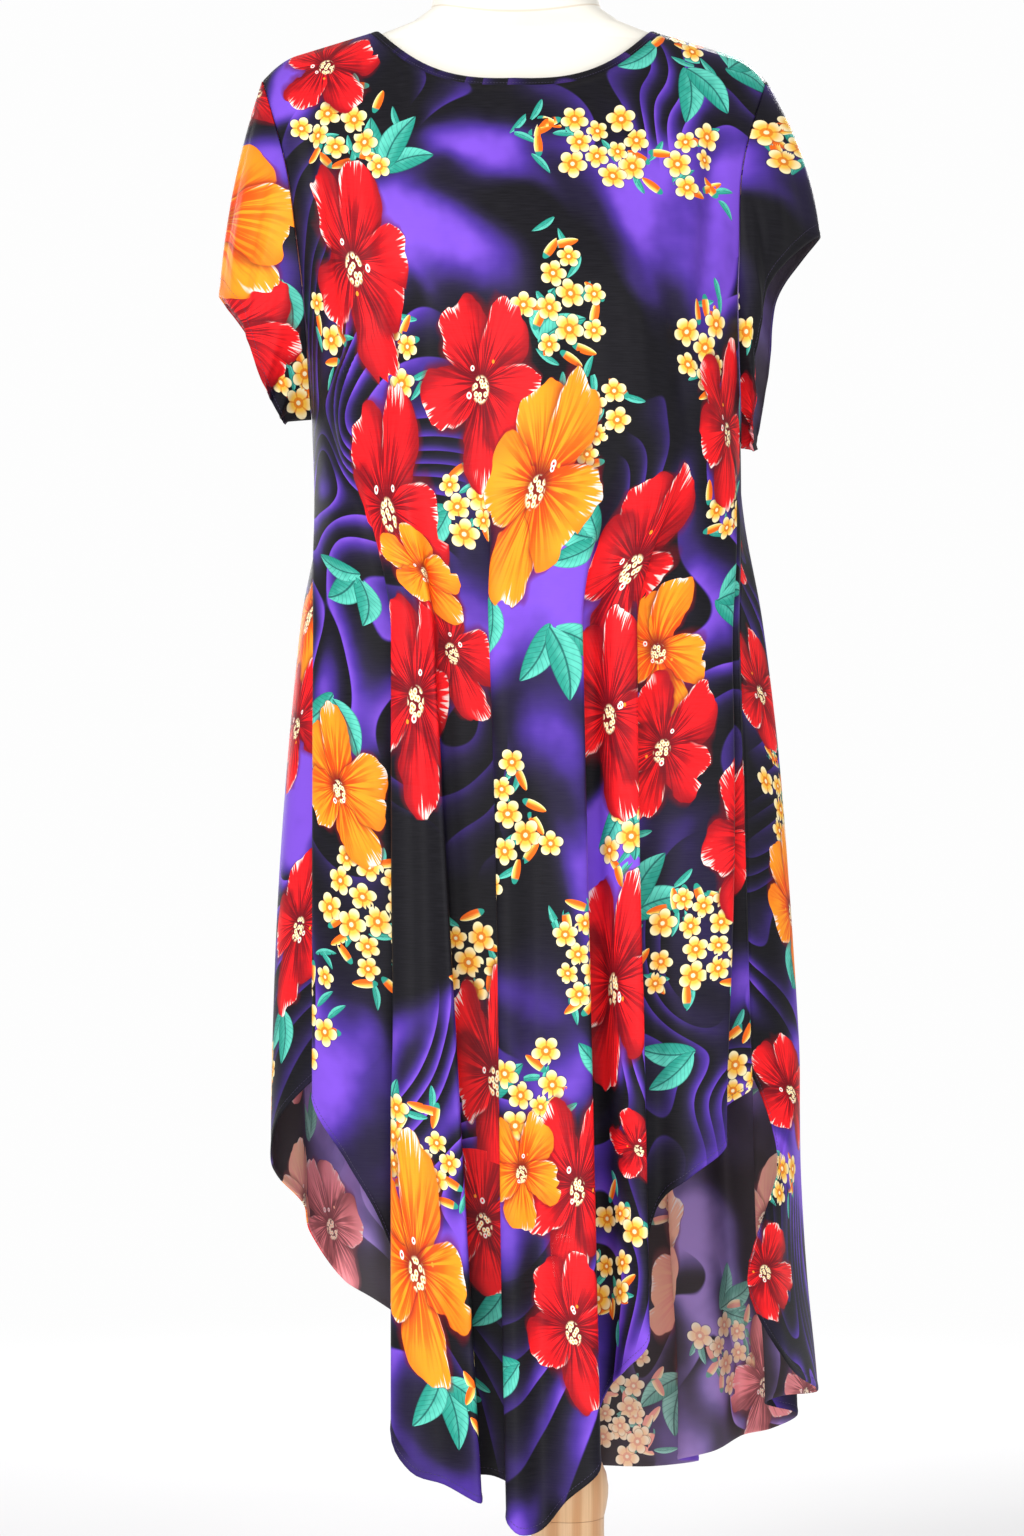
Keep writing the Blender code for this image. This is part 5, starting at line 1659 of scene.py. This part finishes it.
def sleeve(hand):
    start = armhole(hand)
    turn = np.arange(SLEEVE_ROUND) / SLEEVE_ROUND
    end = rim_of(hand, turn)
    part = np.linspace(0.0, 1.0, SLEEVE_ROWS + 1)[:, None]
    grid = start[None] + (end - start)[None] * part[..., None]
    over = np.maximum(np.cos(2.0 * np.pi * turn), 0.0)
    swell = 4.0 * part * (1.0 - part) * SLEEVE_FULLNESS[hand]
    grid[..., 0] += OUTWARDS[hand] * swell * (0.35 + 0.65 * over)
    grid[..., 1] -= np.sin(2.0 * np.pi * turn) * swell
    # The columns go from the underarm up the back, and down the front to the underarm again.
    order = np.r_[HALF_ROUND:SLEEVE_ROUND, 0 : HALF_ROUND + 1]
    closed = grid[:, order]
    height = sleeve_creased(hand, turn[None], part)[:, order]
    flat = sleeve_flat(closed) * (OUTWARDS[hand], 1.0)
    if hand == "left":
        closed, height, flat = closed[:, ::-1], height[:, ::-1], flat[:, ::-1]
    grid = closed[:, :-1]
    grid = grid + outward(grid, True) * height[:, :-1, None]
    bulge = np.zeros(grid.shape[:2])
    bulge[-SLEEVE_HEM_ROWS:] = SLEEVE_HEM_FULLNESS
    directions = outward(grid, True)
    return grid + directions * bulge[..., None], directions, flat, CLOTH + 2.0 * bulge


sleeves = {}
sleeve_grids = {}
sleeve_corners = {}
for hand in HANDS:
    sleeve_grids[hand] = sleeve(hand)
    sleeves[hand], sleeve_corners[hand] = cloth_shell(
        f"{hand}_sleeve_cloth_tube", *sleeve_grids[hand], ring=True)
    lengths = np.linalg.norm(np.diff(sleeve_grids[hand][0], axis=0), axis=2).sum(axis=0)
    print(hand, "sleeve is", round(float(lengths.max()), 3), "m long at its longest")

# %% Motifs of the sleeves
# Across is measured outwards from the armhole, on the front half; a place on the other side
# of the armhole's line lies on the back half. Flowers, fans and sprays, as on the panels.
SLEEVE_PRINT = {
    "right": (
        ((-0.036, 1.268, 0.042, 0.068, 4.0, 1.47, 1), (-0.046, 1.166, 0.042, 0.054, -14.0, 0.33, 0),
         (-0.008, 1.368, 0.036, 0.036, 30.0, 0.62, 0), (0.046, 1.290, 0.040, 0.052, 10.0, 0.84, 0),
         (0.050, 1.180, 0.040, 0.050, -12.0, 1.22, 1)),
        ((-0.010, 1.205, 250.0, 0.022, 2), (0.020, 1.235, 30.0, 0.022, 2)),
        ((-0.012, 1.128, 0.010, 0.016, 4, 41), (0.070, 1.240, 0.016, 0.024, 5, 42)),
    ),
    "left": (
        ((0.026, 1.092, 0.032, 0.048, 6.0, 0.35, 0), (-0.044, 1.230, 0.040, 0.054, -8.0, 0.57, 0),
         (-0.050, 1.120, 0.034, 0.044, 12.0, 1.38, 1)),
        ((0.014, 1.366, 60.0, 0.022, 3), (-0.030, 1.330, 140.0, 0.020, 2)),
        ((0.030, 1.322, 0.014, 0.016, 6, 43), (-0.020, 1.170, 0.014, 0.024, 6, 44)),
    ),
}
for hand in HANDS:
    print_piece(sleeves[hand], sleeve_corners[hand], *SLEEVE_PRINT[hand])

# %% [markdown]
# ## Neck binding
#
# The neckline is finished with a narrow strip of the same cloth, folded over the edge and
# stitched down. It is one closed band, oval in section, that follows the neckline.

# %% Neck binding
BINDING_ROUND = 320
BINDING_SECTION = 14
BINDING_HALF_THICKNESS = 0.0012
BINDING_TUCK = 0.0012  # how far its lower fold reaches in behind the panel's edge
BINDING_FLAT_STEP = 0.001  # of the print, from one edge of the section to the next
BINDING_JOIN = 0.003  # of the print, where the ends of the strip meet


def binding():
    """Middle line of the band, half its width as arrows down the cloth, and its way outwards."""
    number = np.arange(BINDING_ROUND)
    angle = 2.0 * np.pi * number / BINDING_ROUND
    in_front = number <= BINDING_ROUND // 2
    rows = []
    for lowered in (0.0, BINDING_WIDTH / 2.0, BINDING_WIDTH):
        x = NECK_CENTRE_X - (NECK_HALF_WIDTH + lowered) * np.cos(angle)
        level = np.where(in_front, neckline(x, "front", lowered), neckline(x, "back", lowered))
        _, _, front, back = hull_at(level)
        depth = bodice_depth(x, level, np.where(in_front, front, back))
        rows.append(np.stack([x, np.where(in_front, -depth, depth), level], axis=-1))
    band = np.array(rows)
    directions = outward(band, True)[1]
    middle = band[1] - directions * BINDING_HALF_THICKNESS
    return middle, (band[2] - band[0]) / 2.0, directions


def add_binding():
    middle, half, directions = binding()
    section = 2.0 * np.pi * np.arange(BINDING_SECTION)[:, None, None] / BINDING_SECTION
    cosine, sine = np.cos(section), np.sin(section)
    grid = middle[None] - cosine * half[None] + sine * directions[None] * BINDING_HALF_THICKNESS
    grid = grid + np.maximum(-cosine, 0.0) * unit(half)[None] * BINDING_TUCK
    across = np.concatenate([[0.0], np.cumsum(np.linalg.norm(np.diff(middle, axis=0), axis=1))])
    down = -BINDING_FLAT_STEP * np.arange(BINDING_SECTION + 1)
    flat = np.stack(np.meshgrid([*across, across[-1] + BINDING_JOIN], down), axis=-1)
    corners = flat_of(flat, BINDING_SECTION, BINDING_ROUND)
    quads = quads_of(BINDING_SECTION, BINDING_ROUND, BINDING_SECTION, BINDING_ROUND)
    mesh = bpy.data.meshes.new("neck_binding_band")
    mesh.from_pydata(grid.reshape(-1, 3).tolist(), [], quads.tolist())
    mesh.uv_layers.new(name="cloth").data.foreach_set("uv", corners.astype(np.float32).ravel())
    mesh.materials.append(binding_cloth)
    mesh.shade_smooth()
    return add_object("neck_binding_band", mesh), across[-1]


neck_binding, neck_length = add_binding()
print("neckline", round(neck_length, 3), "m round")

# %% [markdown]
# ## The form and its stand
#
# The form is padded and covered with a smooth ivory jersey, with a seam round the foot of
# the neck. Its post and base are turned from light, straight-grained wood. All of them are
# round, so each is built as rings of points.

# %% Jersey
NECK_SEAM_LEVEL = 1.4245
NECK_SEAM_HALF = 0.066  # half width of the neck there
NECK_SEAM_RISE = 0.011  # from its middle to its sides


def jersey(name):
    material, tree, shader = new_material(name)
    place = tree.nodes.new("ShaderNodeTexCoord").outputs["Object"]
    x, y, z = split(place)
    soft = clouds(place, 9.0, 3.0, flat=False)
    colour = blend(soft, colour_of(232, 227, 214), colour_of(241, 237, 228))
    off = (x - NECK_CENTRE_X) / NECK_SEAM_HALF
    seam = (z - NECK_SEAM_LEVEL - off * off * NECK_SEAM_RISE).absolute()
    stitched = step_between(seam, 0.0011, 0.0004)
    colour = blend(stitched * 0.55, colour, colour_of(206, 186, 160))
    feed(colour, shader.inputs["Base Color"])
    loops = (z * 2600.0).node("SINE") * ((x + y) * 2200.0).node("SINE") - stitched * 3.0
    add_bump(shader, loops, 0.12, 0.0002)
    feed(soft * 0.12 + 0.74, shader.inputs["Roughness"])
    shader.inputs["Sheen Weight"].default_value = 0.15
    return material


# %% Pine
def pine(name):
    material, tree, shader = new_material(name)
    place = tree.nodes.new("ShaderNodeTexCoord").outputs["Object"]
    x, y, z = split(place)
    bent = clouds(join(x * 7.0, y * 3.0, z * 1.6), 1.0, 2.0, flat=False)
    rings = (bent * 15.0 + x * 330.0 + y * 40.0).node("SINE")
    band = step_between(rings, -0.7, 1.0)
    fibre = clouds(join(x * 900.0, y * 40.0, z * 12.0), 1.0, 3.0, flat=False)
    colour = blend(band, colour_of(238, 200, 154), colour_of(216, 164, 114))
    colour = blend((fibre - 0.5) * 0.5 + 0.25, colour, colour_of(168, 112, 68))
    feed(colour, shader.inputs["Base Color"])
    feed(fibre * 0.16 + 0.34, shader.inputs["Roughness"])
    add_bump(shader, fibre, 0.15, 0.0004)
    shader.inputs["Coat Weight"].default_value = 0.25
    shader.inputs["Coat Roughness"].default_value = 0.25
    return material


ivory_jersey = jersey("ivory_jersey")
turned_pine = pine("turned_pine")
print("finishes of the stand:", ivory_jersey.name, "and", turned_pine.name)

# %% Rings of points, closed at both ends
SHARP_FROM = math.radians(40.0)


def stacked_rings(name, rings, material):
    """rings: (count, sides, 3) from the bottom up, each turning from +X towards +Y."""
    count, sides, _ = rings.shape
    faces = []
    for ring in range(count - 1):
        for side in range(sides):
            here = ring * sides + side
            beside = ring * sides + (side + 1) % sides
            faces.append((here, beside, beside + sides, here + sides))
    faces.append(tuple(reversed(range(sides))))
    faces.append(tuple(range((count - 1) * sides, count * sides)))
    mesh = bpy.data.meshes.new(name)
    mesh.from_pydata(rings.reshape(-1, 3).tolist(), [], faces)
    mesh.materials.append(material)
    mesh.shade_smooth()
    mesh.set_sharp_from_angle(angle=SHARP_FROM)
    return add_object(name, mesh)


def round_turn(sides):
    return 2.0 * np.pi * np.arange(sides) / sides


# %% Form
# Level, half width, depth in front, depth behind, roundness.
FORM = np.array((
    (0.600, 0.122, 0.070, 0.082, 2.25), (0.612, 0.146, 0.088, 0.100, 2.25),
    (0.680, 0.158, 0.098, 0.108, 2.25), (0.780, 0.161, 0.104, 0.110, 2.25),
    (0.880, 0.148, 0.098, 0.092, 2.25), (0.955, 0.136, 0.096, 0.080, 2.25),
    (1.040, 0.144, 0.110, 0.084, 2.25), (1.130, 0.156, 0.120, 0.090, 2.25),
    (1.210, 0.162, 0.110, 0.084, 2.25), (1.300, 0.165, 0.088, 0.070, 2.15),
    (1.355, 0.1640, 0.066, 0.054, 1.90), (1.382, 0.1625, 0.052, 0.040, 1.70),
    (1.396, 0.1580, 0.044, 0.033, 1.55), (1.4035, 0.1446, 0.041, 0.030, 1.50),
    (1.4090, 0.1262, 0.041, 0.030, 1.50), (1.4140, 0.1160, 0.044, 0.031, 1.50),
    (1.4180, 0.1060, 0.048, 0.034, 1.50), (1.4250, 0.0860, 0.054, 0.038, 1.75),
    (1.4350, 0.0700, 0.059, 0.043, 2.05), (1.4520, 0.0655, 0.060, 0.046, 2.15),
    (1.5000, 0.0640, 0.058, 0.046, 2.15),
))
LEAN_FOOT = (0.600, -0.0100)  # level and x: the form leans a little to its right
LEAN_TOP = (1.440, -0.0425)
FORM_SIDES = 128
FORM_ROWS_BETWEEN = 6


def lean_at(level):
    share = (level - LEAN_FOOT[0]) / (LEAN_TOP[0] - LEAN_FOOT[0])
    return LEAN_FOOT[1] + (LEAN_TOP[1] - LEAN_FOOT[1]) * np.clip(share, 0.0, 1.05)


def form_rings():
    spans = [np.linspace(low, high, FORM_ROWS_BETWEEN, endpoint=False)
             for low, high in zip(FORM[:-1, 0], FORM[1:, 0])]
    levels = np.concatenate([*spans, FORM[-1:, 0]])
    half, front, back, roundness = (
        np.interp(levels, FORM[:, 0], column)[:, None] for column in FORM.T[1:])
    x, y = oval(round_turn(FORM_SIDES), lean_at(levels)[:, None], half, front, back, roundness)
    return np.stack([x, y, np.broadcast_to(levels[:, None], x.shape)], axis=-1)


form = stacked_rings("form_cover", form_rings(), ivory_jersey)
print("form:", len(form.data.polygons), "faces")

# %% Turned pieces
TURNED_SIDES = 96
CAP_RADIUS = 0.044
CAP_FOOT = 1.5003
CAP_THICKNESS = 0.010
TURNED = {  # radius and level, from the foot up
    "neck_cap": (
        (0.86 * CAP_RADIUS, CAP_FOOT),
        (0.92 * CAP_RADIUS, CAP_FOOT + 0.4 * CAP_THICKNESS),
        (0.86 * CAP_RADIUS, CAP_FOOT + 0.85 * CAP_THICKNESS),
        (0.70 * CAP_RADIUS, CAP_FOOT + CAP_THICKNESS)),
    "post_upper": ((0.0200, 0.2643), (0.0200, 0.5997)),
    "post_collar": (
        (0.0300, 0.2008), (0.0318, 0.2085), (0.0333, 0.2180), (0.0335, 0.2255),
        (0.0318, 0.2360), (0.0272, 0.2465), (0.0229, 0.2540), (0.0212, 0.2640)),
    "post_lower": ((0.0300, 0.0223), (0.0300, 0.2005)),
    "base": ((0.1640, 0.0000), (0.1700, 0.0040), (0.1700, 0.0150), (0.1640, 0.0200), (0.0420, 0.0220)),
}


def turned(node, profile, centre, material):
    angle = round_turn(TURNED_SIDES)
    rings = []
    for radius, level in profile:
        x = centre + radius * np.cos(angle)
        rings.append(np.stack([x, radius * np.sin(angle), np.full(TURNED_SIDES, level)], axis=-1))
    return stacked_rings(node + "_turned", np.array(rings), material)


turned_pieces = {}
for node, profile in TURNED.items():
    on_neck = node == "neck_cap"
    centre = float(lean_at(FORM[-1, 0])) if on_neck else 0.0
    turned_pieces[node] = turned(node, profile, centre, ivory_jersey if on_neck else turned_pine)
print("turned pieces:", ", ".join(turned_pieces))

# %% [markdown]
# ## Stitches
#
# A machine stitch is a short length of thread, and there are thousands of them, all alike.
# That is work for Geometry Nodes: a path is cut into equal steps, and a small lengthened
# ball stands at each, turned along the path. The result is kept as a plain mesh. The hems
# are stitched 5.5 mm from their edge, the sleeves five rows of their grid from the rim, and
# the binding close to its lower fold.

# %% Stitch maker
BALL_SEGMENTS = 6
BALL_RINGS = 4


def make_stitch_tree():
    tree, source, sink = new_group(
        "row_of_stitches",
        [("Path", "Geometry"), ("Pitch", "Float"), ("Stitch Length", "Float"), ("Thread Radius", "Float"),
         ("Thread", "Material")],
        [("Stitches", "Geometry")],
        "GeometryNodeTree",
    )
    add = tree.nodes.new
    curve = add("GeometryNodeMeshToCurve")
    steps = add("GeometryNodeResampleCurve")
    steps.mode = "LENGTH"
    tangent = add("GeometryNodeInputTangent")
    turn = add("FunctionNodeAlignRotationToVector")
    turn.axis = "Z"
    ball = add("GeometryNodeMeshUVSphere")
    ball.inputs["Segments"].default_value = BALL_SEGMENTS
    ball.inputs["Rings"].default_value = BALL_RINGS
    ball.inputs["Radius"].default_value = 0.5
    size = add("ShaderNodeCombineXYZ")
    double = add("ShaderNodeMath")
    double.operation = "MULTIPLY"
    double.inputs[1].default_value = 2.0
    stand = add("GeometryNodeInstanceOnPoints")
    real = add("GeometryNodeRealizeInstances")
    finish = add("GeometryNodeSetMaterial")
    link = tree.links.new
    link(source.outputs["Path"], curve.inputs["Mesh"])
    link(curve.outputs["Curve"], steps.inputs["Curve"])
    link(source.outputs["Pitch"], steps.inputs["Length"])
    link(steps.outputs["Curve"], stand.inputs["Points"])
    link(tangent.outputs["Tangent"], turn.inputs["Vector"])
    link(turn.outputs["Rotation"], stand.inputs["Rotation"])
    link(ball.outputs["Mesh"], stand.inputs["Instance"])
    link(source.outputs["Thread Radius"], double.inputs[0])
    link(double.outputs[0], size.inputs["X"])
    link(double.outputs[0], size.inputs["Y"])
    link(source.outputs["Stitch Length"], size.inputs["Z"])
    link(size.outputs[0], stand.inputs["Scale"])
    link(stand.outputs["Instances"], real.inputs["Geometry"])
    link(real.outputs["Geometry"], finish.inputs["Geometry"])
    link(source.outputs["Thread"], finish.inputs["Material"])
    link(finish.outputs["Geometry"], sink.inputs["Stitches"])
    return tree


stitch_tree = make_stitch_tree()
print("stitch maker:", len(stitch_tree.nodes), "nodes")


# %% Thread and rows
def sewing_thread():
    """Dark polyester thread, with a painted highlight: a fine diagonal line of lighter colour along its
    twist.
    """
    material, tree, shader = new_material("violet_black_thread")
    x, y, z = split(tree.nodes.new("ShaderNodeTexCoord").outputs["Object"])
    twist = ((x + y + z) * 9000.0).node("SINE")
    # painted highlight: the ridges of the twist are painted lighter, where light would catch them
    twist_highlight = step_between(twist, -1.0, 1.0)
    colour = blend(twist_highlight, colour_of(30, 24, 44), colour_of(70, 58, 98))
    feed(colour, shader.inputs["Base Color"])
    shader.inputs["Roughness"].default_value = 0.5
    return material


thread = sewing_thread()


def sew(name, points, pitch, length, radius, closed=False):
    """A row of stitches along the points."""
    count = len(points)
    edges = [(at, at + 1) for at in range(count - 1)]
    if closed:
        edges.append((count - 1, 0))
    path = bpy.data.meshes.new(name + "_path")
    path.from_pydata(points.tolist(), edges, [])
    guide = add_object(name + "_path", path)
    rows = guide.modifiers.new("stitches", "NODES")
    rows.node_group = stitch_tree
    settings = {"Pitch": pitch, "Stitch Length": length, "Thread Radius": radius, "Thread": thread}
    for socket in stitch_tree.interface.items_tree:
        if socket.name in settings:
            rows[socket.identifier] = settings[socket.name]
    drawn = guide.evaluated_get(bpy.context.evaluated_depsgraph_get())
    mesh = bpy.data.meshes.new_from_object(drawn)
    bpy.data.objects.remove(guide)
    mesh.name = name
    mesh.shade_smooth()
    print(name, "has", len(mesh.polygons) // (BALL_SEGMENTS * BALL_RINGS), "stitches")
    return add_object(name, mesh)


# %% Sewn rows
HEM_STITCH = (0.0030, 0.0023, 0.00022)  # pitch, length, radius of the thread
BINDING_STITCH = (0.0026, 0.0019, 0.00018)
STANDS_OFF = 0.00005  # how far a stitch's middle lies off the cloth
SLEEVE_STITCH_ROW = -6
BINDING_LINE = 0.55  # of the way from the band's middle to its lower fold


def on_cloth(grid, directions, row):
    return grid[row] + directions[row] * STANDS_OFF


def binding_line():
    middle, half, directions = binding()
    rise = math.sqrt(1.0 - BINDING_LINE * BINDING_LINE) * BINDING_HALF_THICKNESS
    return middle + half * BINDING_LINE + directions * (rise + STANDS_OFF)


front_stitches = sew("front_hem_stitches", on_cloth(*front_panel[:2], PANEL_ROWS), *HEM_STITCH)
back_stitches = sew("back_hem_stitches", on_cloth(*back_panel[:2], PANEL_ROWS), *HEM_STITCH)
sleeve_stitches = {}
for hand in HANDS:
    row = on_cloth(*sleeve_grids[hand][:2], SLEEVE_STITCH_ROW)
    sleeve_stitches[hand] = sew(f"{hand}_sleeve_hem_stitches", row, *HEM_STITCH, closed=True)
binding_stitches = sew("neck_binding_stitches", binding_line(), *BINDING_STITCH, closed=True)

# %% [markdown]
# ## What each piece stands for
#
# Every piece rides on the one body and stands for its solid, which is hidden. For each cloth
# piece the area of the cut is printed, which is far from a full rectangle.

# %% Rides, slots and solids
STANDS_FOR = [
    (dress_front, "dress_front", "front_cloth"), (dress_back, "dress_back", "back_cloth"),
    (sleeves["right"], "sleeve_right", "right_sleeve_cloth"),
    (sleeves["left"], "sleeve_left", "left_sleeve_cloth"),
    (neck_binding, "neck_binding", "binding_cloth"), (form, "form_torso", "form_jersey"),
]
for node, piece in turned_pieces.items():
    STANDS_FOR.append((piece, node, "cap_jersey" if node == "neck_cap" else f"{node}_wood"))
for piece, node, slot in STANDS_FOR:
    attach(piece, "root")
    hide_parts(node)

SEWN_ON = (
    (front_stitches, "front_cloth"), (back_stitches, "back_cloth"),
    (sleeve_stitches["right"], "right_sleeve_cloth"), (sleeve_stitches["left"], "left_sleeve_cloth"),
    (binding_stitches, "binding_cloth"),
)
for piece, slot in SEWN_ON:
    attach(piece, "root")
print(len(STANDS_FOR), "pieces stand for solids,", len(SEWN_ON), "rows are sewn on")

# %% Cloth as it was cut
for piece in (dress_front, dress_back, *sleeves.values(), neck_binding):
    area = sum(face.area for face in piece.data.polygons) / 2.0
    print(piece.name, "has", round(area, 4), "square metres of cloth")

# %% [markdown]
# ## Floor
#
# The stand needs a floor to throw its shadow on, but no horizon may show. So the floor is
# matt and pale near the stand, and further out it turns into light like the room's own.

# %% Floor
FLOOR_HALF = 14.0
FLOOR_WHITE_FROM = 1.1  # metres from the stand, where the floor begins to melt into the white
FLOOR_WHITE_AT = 2.6
FLOOR_TONES = ((0.74, 0.74, 0.745, 1.0), (0.77, 0.77, 0.775, 1.0))
BLACK = (0.0, 0.0, 0.0, 1.0)


def pale_floor():
    material, tree, shader = new_material("pale_floor")
    place = tree.nodes.new("ShaderNodeTexCoord").outputs["Object"]
    x, y, _ = split(place)
    far = step_between(distance_of(x, y), FLOOR_WHITE_FROM, FLOOR_WHITE_AT)
    colour = blend(clouds(place, 2.0, 2.0), *FLOOR_TONES)
    feed(blend(far, colour, BLACK), shader.inputs["Base Color"])
    shader.inputs["Roughness"].default_value = 0.9
    shader.inputs["Specular IOR Level"].default_value = 0.0
    shader.inputs["Emission Color"].default_value = WHITE
    feed(far * ROOM_SEEN, shader.inputs["Emission Strength"])
    return material


def add_floor():
    corners = [(x * FLOOR_HALF, y * FLOOR_HALF, 0) for x, y in ((-1, -1), (1, -1), (1, 1), (-1, 1))]
    mesh = bpy.data.meshes.new("studio_floor")
    mesh.from_pydata(corners, [], [(0, 1, 2, 3)])
    mesh.materials.append(pale_floor())
    floor = add_object("studio_floor", mesh)
    floor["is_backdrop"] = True
    return floor


print("floor:", 2.0 * FLOOR_HALF, "m wide:", add_floor().name)

# %% Finish
low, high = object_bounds()
